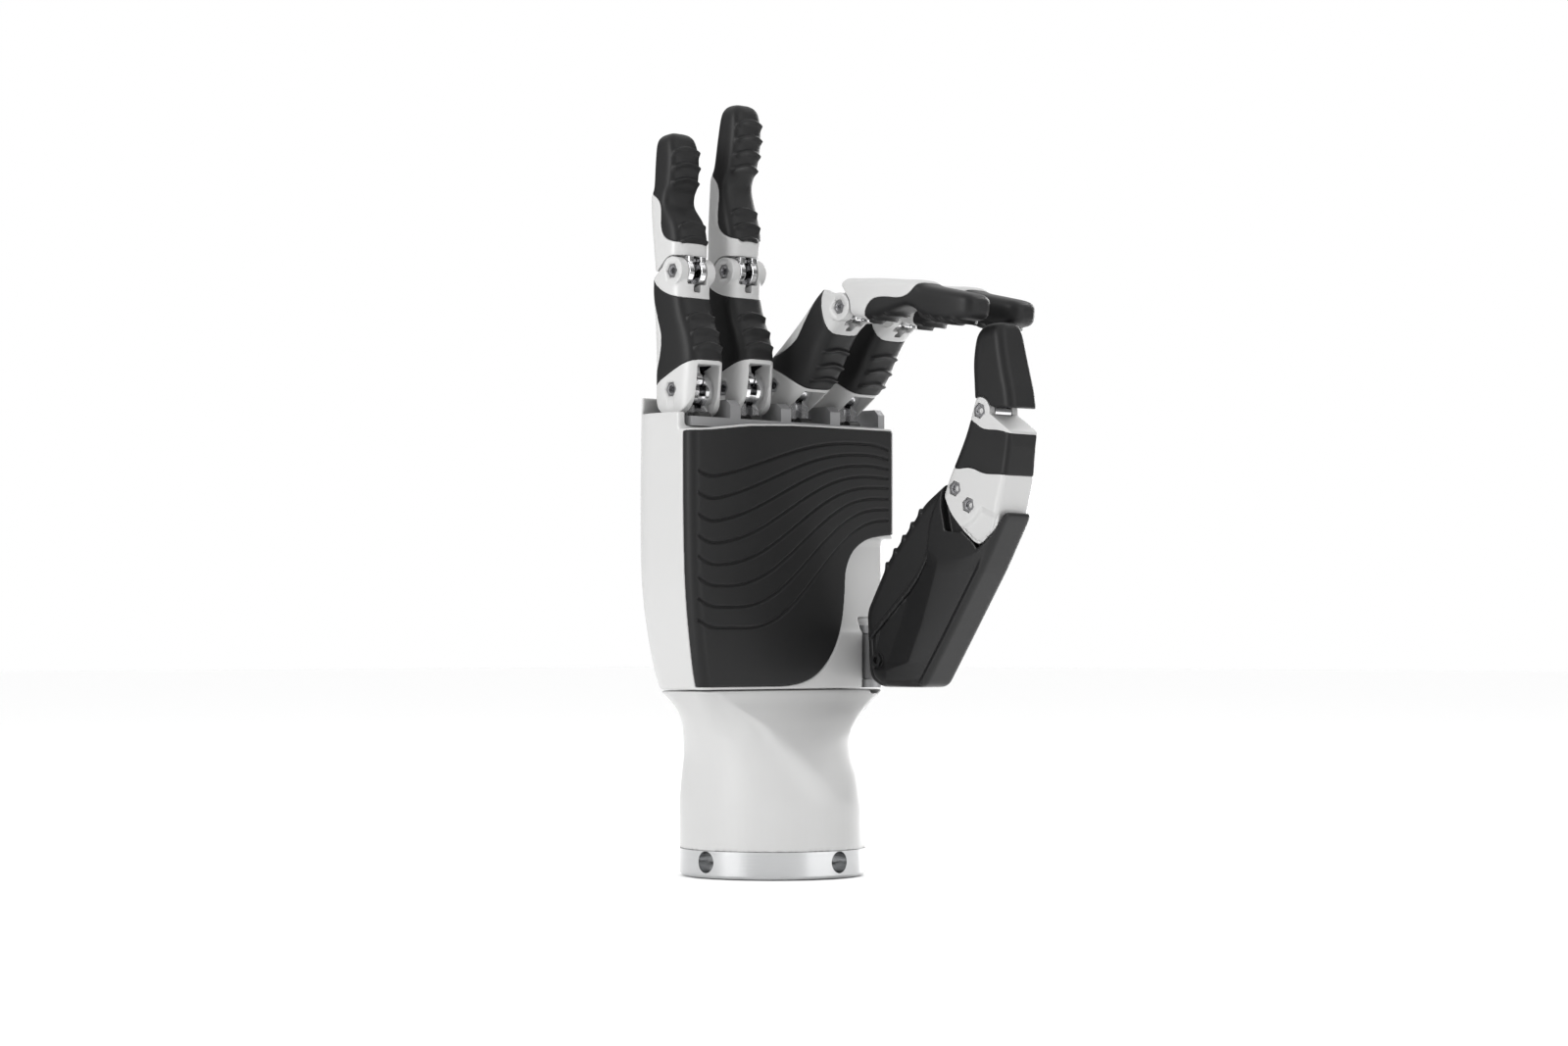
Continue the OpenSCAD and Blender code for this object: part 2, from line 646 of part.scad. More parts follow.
module link_anchor_pins() color(STEEL)
    for (i = [0:3])
        translate([finger_x[i], -finger_q, knuckle_z[i]]) disc_across(link_pin_d/2, 2*lug_out, anchor);

// linear actuators standing in the palm, each with its push rod
module finger_actuators() color(STEEL)
    for (i = [0:3])
        translate([finger_x[i], actuator_y, actuator_z]) {
            cylinder(r = 5.1, h = palm_top - actuator_z - 12);
            cylinder(r = 1.6, h = bar_top - bar_h - actuator_z + 1);
        }

// ---------- thumb ----------

module bracket_plates() for (z = bracket_z)
    translate([0, 0, z]) linear_extrude(bracket_t) {
        translate([swivel_at[0], -swivel_at[1]]) circle(r = sleeve_r + 0.1);
        translate([swivel_at[0] - sleeve_r - 0.1, -swivel_at[1]]) square([2*sleeve_r + 0.2, 14]);
    }

module thumb_brackets() color(GREY) difference() {
    bracket_plates();
    translate([swivel_at[0], -swivel_at[1], bracket_z[0] - 1])
        cylinder(d = swivel_pin_d + 2*pin_fit, h = 30);
}

module thumb_pivot_pin() color(CHROME)
    translate([swivel_at[0], -swivel_at[1], bracket_z[0]])
        cylinder(d = swivel_pin_d, h = bracket_z[1] + bracket_t - bracket_z[0]);

// a sleeve on the pivot pin with an arm that is let into the thumb's housing
module swivel_body() translate([0, 0, swivel_z[0]]) linear_extrude(swivel_z[1] - swivel_z[0]) {
    translate([swivel_at[0], -swivel_at[1]]) circle(r = sleeve_r);
    polygon([
        [swivel_at[0] - sleeve_r, -swivel_at[1]], [swivel_at[0] - sleeve_r, -palm_front - 1.2],
        [thumb_x - 4.4, -root_q - 2], [thumb_x + 5, -root_q - 2],
        [swivel_at[0] + sleeve_r, -swivel_at[1] - 2], [swivel_at[0] + sleeve_r, -swivel_at[1]]
    ]);
}

module thumb_swivel() color(GREY) difference() {
    swivel_body();
    translate([swivel_at[0], -swivel_at[1], 0]) cylinder(d = swivel_pin_d + 2*pin_fit, h = 100);
}

// outline of the thumb's housing: its foot stands by the seam, its head at the thumb's knuckle
root_q = 22.6;

function housing_points() = let (k = thumb_knuckle) [
    [root_q + 1, seam_z + 3.2], [root_q + 5.4, seam_z + 0.6], [root_q + 22, seam_z + 0.6],
    k + [-3.4, -41], k + [9.2, -22.2], k + [18.1, -7.1], k + [-3.3, 2.4], k + [-12.5, -3.7],
    k + [-26.4, -19.2], [root_q, seam_z + 21.8]
];

module housing_block() translate([thumb_x, 0, 0]) hull() {
    across(thumb_w) offset(delta = -2.2) polygon(housing_points());
    across(thumb_w - 4) polygon(housing_points());
}

// the ground that an outline of the thumb's base covers as the thumb bends back
module bend_sweep() for (a = [0:5:thumb_range]) rotate(-a) offset(delta = run_gap + 0.1) children();

module housing_cuts() at_thumb_knuckle() {
    // sides: room for the base's cheeks
    difference() {
        across(3*thumb_w) bend_sweep() base_lower();
        across(2*thumb_cheek_in - 0.8) translate([-60, -60]) square([120, 120]);
    }
    // middle: room for the base's outer wall and for what lies above the knuckle
    across(3*thumb_w) bend_sweep() difference() {
        base_lower();
        circle(r = 13);
        translate([-40, -40]) square([80, 36.4]);
    }
    difference() {
        across(3*thumb_w) circle(r = thumb_sweep - 0.6);
        across(3*thumb_w) {
            circle(r = 5.6);
            polygon([[-5.6, 0], [-14, -4], [-24, -30], [12, -30], [6.4, -8], [5.4, -2]]);
        }
    }
}

module thenar_outline() let (k = thumb_knuckle) polygon([
    [root_q - 8, seam_z + 8], [root_q + 2.4, seam_z + 15.2], [root_q + 8.8, seam_z + 21],
    k + [-15.4, -25], k + [-11.4, -19.6], k + [-9.9, -14.6], k + [-9.7, -9.6], k + [-5.3, 0.4], k + [-5.3, 12],
    [root_q - 8, k[1] + 12]
]);

bolt_at = [root_q + 4.4, seam_z + 8.1];

module thumb_housing() color(BLACK) difference() {
    housing_block();
    housing_cuts();
    swivel_body();
    translate([thumb_x, 0, 0]) {
        across(2*thumb_w) thenar_outline();
        disc_across(knuckle_pin_d/2 + pin_fit, 2*thumb_w, thumb_knuckle);
        disc_across(1.65, 2*thumb_w, bolt_at);
    }
}

module thumb_thenar_pad() color(BLACK) difference() {
    intersection() {
        housing_block();
        translate([thumb_x, 0, 0]) across(2*thumb_w) thenar_outline();
    }
    housing_cuts();
    swivel_body();
}

module thumb_swivel_bolt() color(STEEL) translate([thumb_x, 0, 0]) socket_pin(1.6, thumb_w/2 - 0.4, bolt_at);

module at_thumb_knuckle() translate([thumb_x, -thumb_knuckle[0], thumb_knuckle[1]]) rotate([thumb_lean, 0, 0]) children();
module at_thumb_joint() translate([thumb_x, -thumb_joint[0], thumb_joint[1]]) rotate([thumb_tip_lean, 0, 0]) children();

// in the thumb's own frame the first number is the distance to the outer side
module base_lower() {
    circle(r = 4.6);
    polygon([
        [-4.4, 1], [-3.4, -3], [1.2, -6.8], [7, -9.6], [12.4, -11.2], [14.4, -10.8], [17, -6], [17.6, -2],
        [16.8, 4], [0, 4]
    ]);
}

module thumb_base_outline() {
    base_lower();
    polygon([
        [-4.4, 1], [0, 3], [16.8, 3.9], [16.4, 10], [12.4, thumb_link_l - 1.4], [3.4, thumb_link_l + 0.6],
        [-3.4, thumb_link_l], [-3.4, 5]
    ]);
    translate([0, thumb_link_l]) circle(r = 3.7);
}

module thumb_grip_outline() offset(r = -0.8) offset(r = 0.8) polygon([
    [-8, thumb_link_l - 3.6], [-1, thumb_link_l - 3.4], [3, thumb_link_l - 4.4], [9, thumb_link_l - 2.4], [22, thumb_link_l - 1.6],
    [22, 11], [15, 9.6], [8, 7.2], [3, 7.4], [-2, 4.8], [-8, 5.4]
]);

function thumb_stations() = let (w = thumb_w/2) [
    [-20, w, 4.4, 17.4], [-6, w, 4.2, 17.4], [2, w, 4, 16.6], [9, w - 0.2, 3.4, 15.8],
    [15, w - 0.5, 3.2, 14.4], [thumb_link_l - 2, w - 0.6, 3.4, 13], [thumb_link_l + 4, w - 0.6, 3.7, 12.4]
];

// the thumb's pad side faces the palm, so its lofts are turned to reach outwards
module thumb_near_section() intersection() {
    mirror([0, 1, 0]) skin(thumb_stations());
    across(2*thumb_w) thumb_base_outline();
}

module thumb_core() across(2*thumb_cheek_in - 2) polygon([[-1.8, 3], [-1.8, thumb_link_l - 1], [9, thumb_link_l - 1], [12, 3]]);

module thumb_slots() {
    across(2*slot_half) {
        circle(r = 6.2);
        polygon([[-12, -30], [-12, 3], [6, 5], [13.6, 0], [14.6, -8], [15, -30]]);
    }
    across(2*thumb_cheek_in) difference() {
        circle(r = thumb_sweep);
        translate([13.6, -3.5]) square([10, 40]);
        translate([-10, 3.4]) square([40, 40]);
    }
    across(2*(thumb_hinge_half + run_gap)) {
        translate([0, thumb_link_l]) circle(r = 4);
        translate([-10, thumb_link_l - 3.4]) square([14, 12]);
    }
}

module thumb_frame() color(WHITE) at_thumb_knuckle() difference() {
    thumb_near_section();
    difference() {
        across(2*thumb_w) thumb_grip_outline();
        thumb_core();
    }
    thumb_slots();
    disc_across(knuckle_pin_d/2 + pin_fit, 2*thumb_w);
    hex_pocket(thumb_w/2, [0, 0], 2.3, 0.9);
    disc_across(knuckle_pin_d/2 + pin_fit, 2*thumb_w, thumb_rod_local);
    hex_pocket(thumb_w/2, thumb_rod_local, 2.3, 0.9);
    disc_across(knuckle_pin_d/2 + pin_fit, 2*thumb_w, [0, thumb_link_l]);
    hex_pocket(thumb_ear_w/2, [0, thumb_link_l], 2.3, 0.7);
}

module thumb_grip() color(BLACK) at_thumb_knuckle() difference() {
    intersection() {
        thumb_near_section();
        across(2*thumb_w) thumb_grip_outline();
    }
    thumb_core();
    thumb_slots();
}

module thumb_knuckle_pins() color(STEEL) at_thumb_knuckle() {
    socket_pin(knuckle_pin_d/2, thumb_w/2 - 0.9);
    for (side = [-1, 1])
        intersection() {
            socket_pin(knuckle_pin_d/2, thumb_w/2 - 0.9, thumb_rod_local);
            translate([side*(10 + slot_half), 0, 0]) cube([20, 60, 60], center = true);
        }
}

function thumb_tip_stations() = let (l = thumb_tip_l, w = thumb_ear_w/2) [
    [-4, w, 3, 11.6], [3.4, w, 2.8, 11.4], [8, w, 2.6, 10.8], [0.6*l, w - 0.2, 2.3, 10], [0.85*l, w - 0.6, 1, 9.4],
    [0.96*l, w - 1.4, -0.6, 8.8], [l, w - 2.6, -1.8, 7.6]
];

module thumb_tip() color(BLACK) at_thumb_joint() difference() {
    mirror([0, 1, 0]) skin(thumb_tip_stations());
    across(3*thumb_w) {
        circle(r = 4);
        polygon([[-12, -12], [-12, 3.8], [0, 3.8], [4, 0.6], [10, -0.6], [20, -0.9], [20, -12]]);
    }
    across(2*thumb_hinge_half + 0.04) translate([-2.4, 0]) square([5, 9.1]);
}

module thumb_hinge() color(CHROME) at_thumb_joint() difference() {
    across(2*thumb_hinge_half) {
        circle(r = 3.6);
        translate([-2.4, 0]) square([5, 9]);
    }
    disc_across(knuckle_pin_d/2 + pin_fit, 2*thumb_w);
}

module thumb_hinge_pins() color(STEEL) at_thumb_joint() socket_pin(knuckle_pin_d/2, thumb_ear_w/2 - 0.7);

// ---------- nodes ----------

wrist_flange();
flange_screws();
wrist_connector();
wrist_housing();
control_board();
palm_housing();
palm_pad();
back_cover();
cover_screws();
knuckle_frame();
knuckle_lugs();
knuckle_bumpers();
link_anchor_pins();
finger_actuators();
thumb_brackets();
thumb_pivot_pin();

finger_names = ["little", "ring", "middle", "index"];
for (i = [0:3]) {
    name = finger_names[i];
    finger_frame(i);
    finger_grip(i);
    finger_knuckle_pin(i);
    finger_link(i);
    finger_hinge(i);
    finger_hinge_pins(i);
    finger_shell(i);
    finger_tip(i);
}

thumb_swivel();
thumb_housing();
thumb_thenar_pad();
thumb_swivel_bolt();
thumb_frame();
thumb_grip();
thumb_knuckle_pins();
thumb_hinge();
thumb_hinge_pins();
thumb_tip();
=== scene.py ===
import json
import math

import bmesh
import bpy
import numpy as np
from mathutils import Matrix, Vector


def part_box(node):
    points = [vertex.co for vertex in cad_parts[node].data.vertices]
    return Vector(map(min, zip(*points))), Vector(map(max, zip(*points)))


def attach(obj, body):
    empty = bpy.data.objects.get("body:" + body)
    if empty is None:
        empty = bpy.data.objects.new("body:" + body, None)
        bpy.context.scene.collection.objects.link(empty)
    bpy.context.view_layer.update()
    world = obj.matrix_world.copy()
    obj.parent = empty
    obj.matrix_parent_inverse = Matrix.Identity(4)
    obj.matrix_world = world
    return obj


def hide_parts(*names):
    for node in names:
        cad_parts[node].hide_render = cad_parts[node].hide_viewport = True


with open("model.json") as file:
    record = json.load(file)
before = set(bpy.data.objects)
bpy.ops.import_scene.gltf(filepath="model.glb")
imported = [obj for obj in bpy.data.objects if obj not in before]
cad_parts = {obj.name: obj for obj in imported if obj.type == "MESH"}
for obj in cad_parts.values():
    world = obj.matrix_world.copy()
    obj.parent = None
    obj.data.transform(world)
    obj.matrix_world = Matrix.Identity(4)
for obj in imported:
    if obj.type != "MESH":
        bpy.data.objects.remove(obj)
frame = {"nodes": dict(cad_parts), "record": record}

scene = bpy.context.scene
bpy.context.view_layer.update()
record = frame["record"]
behaviour = record["behaviour"]
jointAt = {j["name"]: [1000 * c for c in j["pos_m"]] for j in behaviour["joints"]}
follows = {c["joint"]: c["ratio"] for c in behaviour["couplings"]}
slotOfNode = {p["node"]: p["material_slot"] for p in record["subparts"]}
mm = 0.001
wide = 20  # half width of a shape that takes in a whole finger, in mm
outside = 60  # a distance well outside the hand, in mm


def nodeBox(node):
    low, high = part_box(node)
    return np.array(low) / mm, np.array(high) / mm


# the camera, its place in mm
stand = dict(x=-689.4, y=-689.4, z=65.4, lens=79.0, sensor=36, tilt=1.98, turn=-45.19)


def makeCamera():
    data = bpy.data.cameras.new("camera")
    data.lens, data.sensor_width = stand["lens"], stand["sensor"]
    data.clip_start, data.clip_end = 0.05, 20
    camera = bpy.data.objects.new("camera", data)
    camera.location = (stand["x"] * mm, stand["y"] * mm, stand["z"] * mm)
    camera.rotation_euler = (math.radians(90 + stand["tilt"]), 0, math.radians(stand["turn"]))
    scene.collection.objects.link(camera)
    scene.camera = camera


# lights and floor, in metres
studio = dict(
    backdrop=1.0, ceiling=1.25, room=0.12, facing=(0.7071, 0.7071, 0.0), aim=(0, 0, 0.12),
    floorReach=6.0, floorDrop=0.0003,
    lamps=[
        # name, place, width, height, watts
        ("lampKey", (-1.0, 0.1, 0.42), 0.5, 0.5, 8.5),
        ("lampFill", (0.4, -1.3, 0.5), 1.1, 1.1, 9.0),
        ("lampRim", (0.7, 0.1, 0.25), 0.15, 0.6, 4.0),
    ],
)


def makeWorld():
    # a white backdrop behind the hand, a bright ceiling, and a dimmer room on the other sides
    world = bpy.data.worlds.new("studio")
    world.use_nodes = True
    nodes, links = world.node_tree.nodes, world.node_tree.links
    nodes["Background"].inputs["Color"].default_value = (1, 1, 1, 1)
    way = nodes.new("ShaderNodeTexCoord")
    towards = nodes.new("ShaderNodeVectorMath")
    towards.operation = "DOT_PRODUCT"
    towards.inputs[1].default_value = studio["facing"]
    links.new(way.outputs["Generated"], towards.inputs[0])
    height = nodes.new("ShaderNodeSeparateXYZ")
    links.new(way.outputs["Generated"], height.inputs[0])
    brighter = nodes.new("ShaderNodeMath")
    brighter.operation = "MAXIMUM"
    glows = (
        # by direction: where it starts, where it is full, how bright
        (towards.outputs["Value"], 0.7, 0.93, studio["backdrop"]),
        (height.outputs["Z"], 0.25, 0.7, studio["ceiling"]),
    )
    for k, (source, low, high, most) in enumerate(glows):
        glow = nodes.new("ShaderNodeMapRange")
        glow.interpolation_type = "SMOOTHSTEP"
        values = {"From Min": low, "From Max": high, "To Min": studio["room"], "To Max": most}
        for socket, value in values.items():
            glow.inputs[socket].default_value = value
        links.new(source, glow.inputs["Value"])
        links.new(glow.outputs["Result"], brighter.inputs[k])
    links.new(brighter.outputs["Value"], nodes["Background"].inputs["Strength"])
    scene.world = world


def makeLamps():
    for name, place, width, height, watts in studio["lamps"]:
        light = bpy.data.lights.new(name, "AREA")
        light.shape, light.size, light.size_y, light.energy = "RECTANGLE", width, height, watts
        lamp = bpy.data.objects.new(name, light)
        lamp.location = place
        towards = Vector(studio["aim"]) - Vector(place)
        lamp.rotation_euler = towards.to_track_quat("-Z", "Y").to_euler()
        scene.collection.objects.link(lamp)


def makeFloor():
    mesh = bpy.data.meshes.new("floor")
    r = studio["floorReach"]
    mesh.from_pydata([(-r, -r, 0), (r, -r, 0), (r, r, 0), (-r, r, 0)], [], [(0, 1, 2, 3)])
    floor = bpy.data.objects.new("floor", mesh)
    floor.location.z = -studio["floorDrop"]
    scene.collection.objects.link(floor)
    floor.data.materials.append(paleFloor())


def makeStudio():
    makeWorld()
    makeLamps()
    makeFloor()
    scene.view_settings.view_transform = "Standard"
    print("studio made")


# one finish for each material slot
finishes = dict(
    white_shell=dict(name="whiteShell", colour=(0.43, 0.43, 0.428), rough=0.34, grain=0.03, grainSize=1500,
                     tint=0.012),
    black_rubber=dict(name="blackRubber", colour=(0.01, 0.01, 0.0103), rough=0.47, shine=0.2, grain=0.22,
                      grainSize=2600, tint=0.12),
    black_shell=dict(name="blackShell", colour=(0.01, 0.01, 0.0103), rough=0.36, shine=0.25, grain=0.08,
                     grainSize=2200, tint=0.1),
    dark_plastic=dict(name="darkPlastic", colour=(0.012, 0.012, 0.012), rough=0.5, grain=0.1, tint=0.1),
    chrome=dict(name="chromePlate", colour=(0.78, 0.78, 0.79), rough=0.13, metal=1.0, roughSpread=0.04,
                tint=0.02),
    steel=dict(name="turnedSteel", colour=(0.36, 0.36, 0.37), rough=0.3, metal=1.0, roughSpread=0.08,
               tint=0.08, brushed=(1, 8, 8)),
    grey_metal=dict(name="castGrey", colour=(0.26, 0.26, 0.265), rough=0.42, metal=0.55, grain=0.15,
                    grainSize=1200, tint=0.06),
    flange_aluminium=dict(name="turnedAluminium", colour=(0.5, 0.505, 0.51), rough=0.2, metal=1.0, grain=0.03,
                          grainSize=120, tint=0.03, brushed=(1, 1, 30)),
    board=dict(name="solderMask", colour=(0.02, 0.13, 0.05), rough=0.4, grain=0.1, grainSize=600, tint=0.2),
)
made = {}


def finish(name, colour, rough, metal=0.0, grain=0.0, grainSize=900.0, roughSpread=0.05, tint=0.04,
           brushed=None, shine=0.5):
    # colour and roughness vary a little; grain is the height of the fine bumps
    material = bpy.data.materials.new(name)
    material.use_nodes = True
    tree = material.node_tree
    shader = tree.nodes["Principled BSDF"]
    shader.inputs["Metallic"].default_value = metal
    shader.inputs["Specular IOR Level"].default_value = shine
    place = tree.nodes.new("ShaderNodeTexCoord")
    stretch = tree.nodes.new("ShaderNodeMapping")
    if brushed:
        stretch.inputs["Scale"].default_value = brushed
    tree.links.new(place.outputs["Object"], stretch.inputs["Vector"])

    def noise(size, detail):
        node = tree.nodes.new("ShaderNodeTexNoise")
        node.inputs["Scale"].default_value = size
        node.inputs["Detail"].default_value = detail
        tree.links.new(stretch.outputs["Vector"], node.inputs["Vector"])
        return node

    def spread(source, low, high):
        node = tree.nodes.new("ShaderNodeMapRange")
        node.inputs["To Min"].default_value, node.inputs["To Max"].default_value = low, high
        tree.links.new(source.outputs["Fac"], node.inputs["Value"])
        return node

    cloud, speck = noise(60, 3), noise(grainSize, 4)
    shade = tree.nodes.new("ShaderNodeMix")
    shade.data_type = "RGBA"
    shade.inputs["A"].default_value = (*[c * (1 - tint) for c in colour], 1)
    shade.inputs["B"].default_value = (*[min(1, c * (1 + tint)) for c in colour], 1)
    tree.links.new(cloud.outputs["Fac"], shade.inputs["Factor"])
    tree.links.new(shade.outputs["Result"], shader.inputs["Base Color"])
    worn = spread(speck, rough - roughSpread, rough + roughSpread)
    tree.links.new(worn.outputs["Result"], shader.inputs["Roughness"])
    if grain:
        bump = tree.nodes.new("ShaderNodeBump")
        bump.inputs["Strength"].default_value = grain
        bump.inputs["Distance"].default_value = 0.0001
        tree.links.new(speck.outputs["Fac"], bump.inputs["Height"])
        tree.links.new(bump.outputs["Normal"], shader.inputs["Normal"])
    return material


def paleFloor():
    return finish("paleFloor", (0.97, 0.97, 0.97), 0.6, grain=0.02, grainSize=200, tint=0.005)


def finishFor(slotName):
    if slotName not in made:
        made[slotName] = finish(**finishes[slotName])
    return made[slotName]


def spline(points, steps):
    # a smooth curve through every point; all shapes are in millimetres until finishPiece
    p = np.array(points, float)
    line = []
    for i in range(len(p) - 1):
        a, b, c, d = p[max(i - 1, 0)], p[i], p[i + 1], p[min(i + 2, len(p) - 1)]
        for t in np.arange(steps) / steps:
            line.append((2 * b + (c - a) * t + (2 * a - 5 * b + 4 * c - d) * t**2
                         + (3 * b - a - 3 * c + d) * t**3) / 2)
    return np.array(line + [p[-1]])


def ovalRings(stations, steps=6, sides=96):
    # each station: height, half width, reach to the palm side, reach to the back
    turn = (np.arange(sides) + 0.5) * 2 * np.pi / sides
    across = np.sign(np.cos(turn)) * np.sqrt(abs(np.cos(turn)))
    along = np.sign(np.sin(turn)) * np.sqrt(abs(np.sin(turn)))
    return [np.c_[w * across, (b - f) / 2 + (f + b) / 2 * along, np.full(sides, z)]
            for z, w, f, b in spline(stations, steps)]


def boxRings(stations, steps=8, corner=16):
    # each station: height, left, right, front and back faces, front and back corner radii
    rings = []
    for z, x0, x1, f, b, rf, rb in spline(stations, steps):
        ring = []
        corners = ((x1 - rf, rf - f, rf, 270), (x1 - rb, b - rb, rb, 0), (x0 + rb, b - rb, rb, 90),
                   (x0 + rf, rf - f, rf, 180))
        for cx, cy, r, start in corners:
            for a in np.radians(start + 90 * np.arange(corner) / (corner - 1)):
                ring.append((cx + r * np.cos(a), cy + r * np.sin(a), z))
        rings.append(np.array(ring))
    return rings


def oblong(x0, y0, x1, y1):
    return [(x0, y0), (x1, y0), (x1, y1), (x0, y1)]


def rounded(outline, radius, steps=5):
    # every corner drawn round, as far as its sides allow
    p = np.array(outline, float)
    line = []
    for i in range(len(p)):
        a, b, c = p[i - 1], p[i], p[(i + 1) % len(p)]
        la, lc = np.linalg.norm(a - b), np.linalg.norm(c - b)
        start, end = b + (a - b) * min(radius / la, 0.48), b + (c - b) * min(radius / lc, 0.48)
        for t in np.arange(steps + 1) / steps:
            line.append((1 - t) ** 2 * start + 2 * t * (1 - t) * b + t**2 * end)
    return np.array(line)


def turned(outline, angle):
    c, s = math.cos(math.radians(angle)), math.sin(math.radians(angle))
    p = np.array(outline, float)
    return np.c_[p[:, 0] * c - p[:, 1] * s, p[:, 0] * s + p[:, 1] * c]


def inset(outline, d):
    # a convex outline with every side moved in by d
    p = np.array(outline, float)
    if np.cross(p[1] - p[0], p[2] - p[1]) < 0:
        p = p[::-1]
    lines = []
    for i in range(len(p)):
        a, b = p[i], p[(i + 1) % len(p)]
        u = (b - a) / np.linalg.norm(b - a)
        lines.append((a + d * np.array([-u[1], u[0]]), u))
    out = []
    for i in range(len(p)):
        (a, u), (b, v) = lines[i - 1], lines[i]
        t = np.cross(b - a, v) / np.cross(u, v)
        out.append(a + t * u)
    return np.array(out)


def disc(radius, at=(0, 0), sides=48):
    turn = np.arange(sides) * 2 * np.pi / sides
    return np.c_[at[0] + radius * np.cos(turn), at[1] + radius * np.sin(turn)]


def hexagon(radius, at):
    return disc(radius, at, 6)


def solid(name, points, faces):
    mesh = bpy.data.meshes.new(name)
    mesh.from_pydata([tuple(p) for p in points], [], faces)
    bm = bmesh.new()
    bm.from_mesh(mesh)
    bmesh.ops.remove_doubles(bm, verts=bm.verts, dist=1e-5)
    bmesh.ops.recalc_face_normals(bm, faces=bm.faces)
    bm.to_mesh(mesh)
    bm.free()
    piece = bpy.data.objects.new(name, mesh)
    scene.collection.objects.link(piece)
    return piece


def loft(name, rings):
    n, m = len(rings[0]), len(rings)
    faces = [(j * n + i, j * n + (i + 1) % n, (j + 1) * n + (i + 1) % n, (j + 1) * n + i)
             for j in range(m - 1) for i in range(n)]
    faces += [tuple(range(n))[::-1], tuple(range((m - 1) * n, m * n))]
    return solid(name, np.concatenate(rings), faces)


def extruded(name, outline, reach, lay):
    # an outline at both ends of its reach; lay() turns its two numbers and the reach into a point
    p = np.array(outline, float)
    n = len(p)
    points = [lay(a, b, c) for c in reach for a, b in p]
    faces = [tuple(range(n))[::-1], tuple(range(n, 2 * n))]
    faces += [(i, (i + 1) % n, n + (i + 1) % n, n + i) for i in range(n)]
    return solid(name, points, faces)


def plate(outline, half, middle=0.0):
    # a side outline (distance to the palm side, height) spread across the width
    return extruded("plate", outline, (middle - half, middle + half), lambda q, z, x: (x, -q, z))


def slab(outline, y0, y1):
    # a front outline (x, height) spread from y0 to y1
    return extruded("slab", outline, (y0, y1), lambda x, z, y: (x, y, z))


def column(outline, z0, z1):
    # a plan outline (x, y) spread from z0 to z1
    return extruded("column", outline, (z0, z1), lambda x, y, z: (x, y, z))


def brick(low, high):
    (x0, y0, z0), (x1, y1, z1) = low, high
    return column(oblong(x0, y0, x1, y1), z0, z1)


def pillow(outline, half, edge, corner, x=0.0, steps=6):
    # a convex side outline spread across the width, its rim rolled over
    rings = []
    for side in (-1, 1):
        for t in (np.arange(steps + 1) / steps)[::-side]:
            a = t * math.pi / 2
            ring = rounded(inset(outline, edge * (1 - math.sin(a))), corner, 4)
            across = np.full(len(ring), x + side * (half - edge * (1 - math.cos(a))))
            rings.append(np.c_[across, -ring[:, 0], ring[:, 1]])
    return loft("pillow", rings)


def baked(piece):
    mesh = bpy.data.meshes.new_from_object(piece.evaluated_get(bpy.context.evaluated_depsgraph_get()))
    piece.modifiers.clear()
    piece.data = mesh
    return piece


def shaped(piece, cut=(), keep=(), add=()):
    for tools, way in ((keep, "INTERSECT"), (add, "UNION"), (cut, "DIFFERENCE")):
        for tool in tools:
            step = piece.modifiers.new("shape", "BOOLEAN")
            step.object, step.operation, step.solver = tool, way, "EXACT"
            baked(piece)
            bpy.data.objects.remove(tool)
    return piece


def softened(piece, grid, rounds, share=1.0, relief=None):
    # one even skin over the piece, its edges rounded off, and then what stands up from it
    skin = piece.modifiers.new("skin", "REMESH")
    skin.mode, skin.voxel_size, skin.adaptivity = "VOXEL", grid, 0
    smooth = piece.modifiers.new("smooth", "SMOOTH")
    smooth.factor, smooth.iterations = 0.5, rounds
    baked(piece)
    if relief:
        n = len(piece.data.vertices)
        points, normals = np.zeros(3 * n), np.zeros(3 * n)
        piece.data.vertices.foreach_get("co", points)
        piece.data.vertex_normals.foreach_get("vector", normals)
        points, normals = points.reshape(-1, 3), normals.reshape(-1, 3)
        points = points + normals * relief(points, normals)[:, None]
        piece.data.vertices.foreach_set("co", points.ravel())
        piece.data.update()
    if share < 1:
        thin = piece.modifiers.new("thin", "DECIMATE")
        thin.ratio = share
        baked(piece)
    return piece


def finishPiece(piece, name, body, slotName, nodes=(), at=None, crease=None):
    # from millimetres to the frame's metres, with its finish, its body and the nodes it stands for
    piece.name = name
    piece.data.transform(Matrix.Scale(mm, 4))
    if at is not None:
        piece.matrix_world = at
    piece.data.shade_smooth()
    if crease:
        piece.data.set_sharp_from_angle(angle=math.radians(crease))
    piece.data.materials.clear()
    piece.data.materials.append(finishFor(slotName))
    bpy.context.view_layer.update()
    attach(piece, body)
    if nodes:
        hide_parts(*nodes)
    return piece


def joined(pieces):
    bm = bmesh.new()
    for piece in pieces:
        bm.from_mesh(piece.data)
        bpy.data.objects.remove(piece)
    mesh = bpy.data.meshes.new("joined")
    bm.to_mesh(mesh)
    bm.free()
    return mesh


def meshOf(piece):
    mesh = piece.data
    bpy.data.objects.remove(piece)
    return mesh


def placed(point, lean=0.0):
    return Matrix.Translation(Vector(point) * mm) @ Matrix.Rotation(math.radians(lean), 4, "X")


# the sockets in the ends of the pins: a pocket in each face and a steel cup in it
socket = dict(pocket=2.3, cup=2.1, bore=1.15, cupHalf=0.25, sunk=0.6, rim=0.12)


def hexPockets(half, at, radius, deep):
    return [plate(hexagon(radius, at), deep, side * half) for side in (-1, 1)]


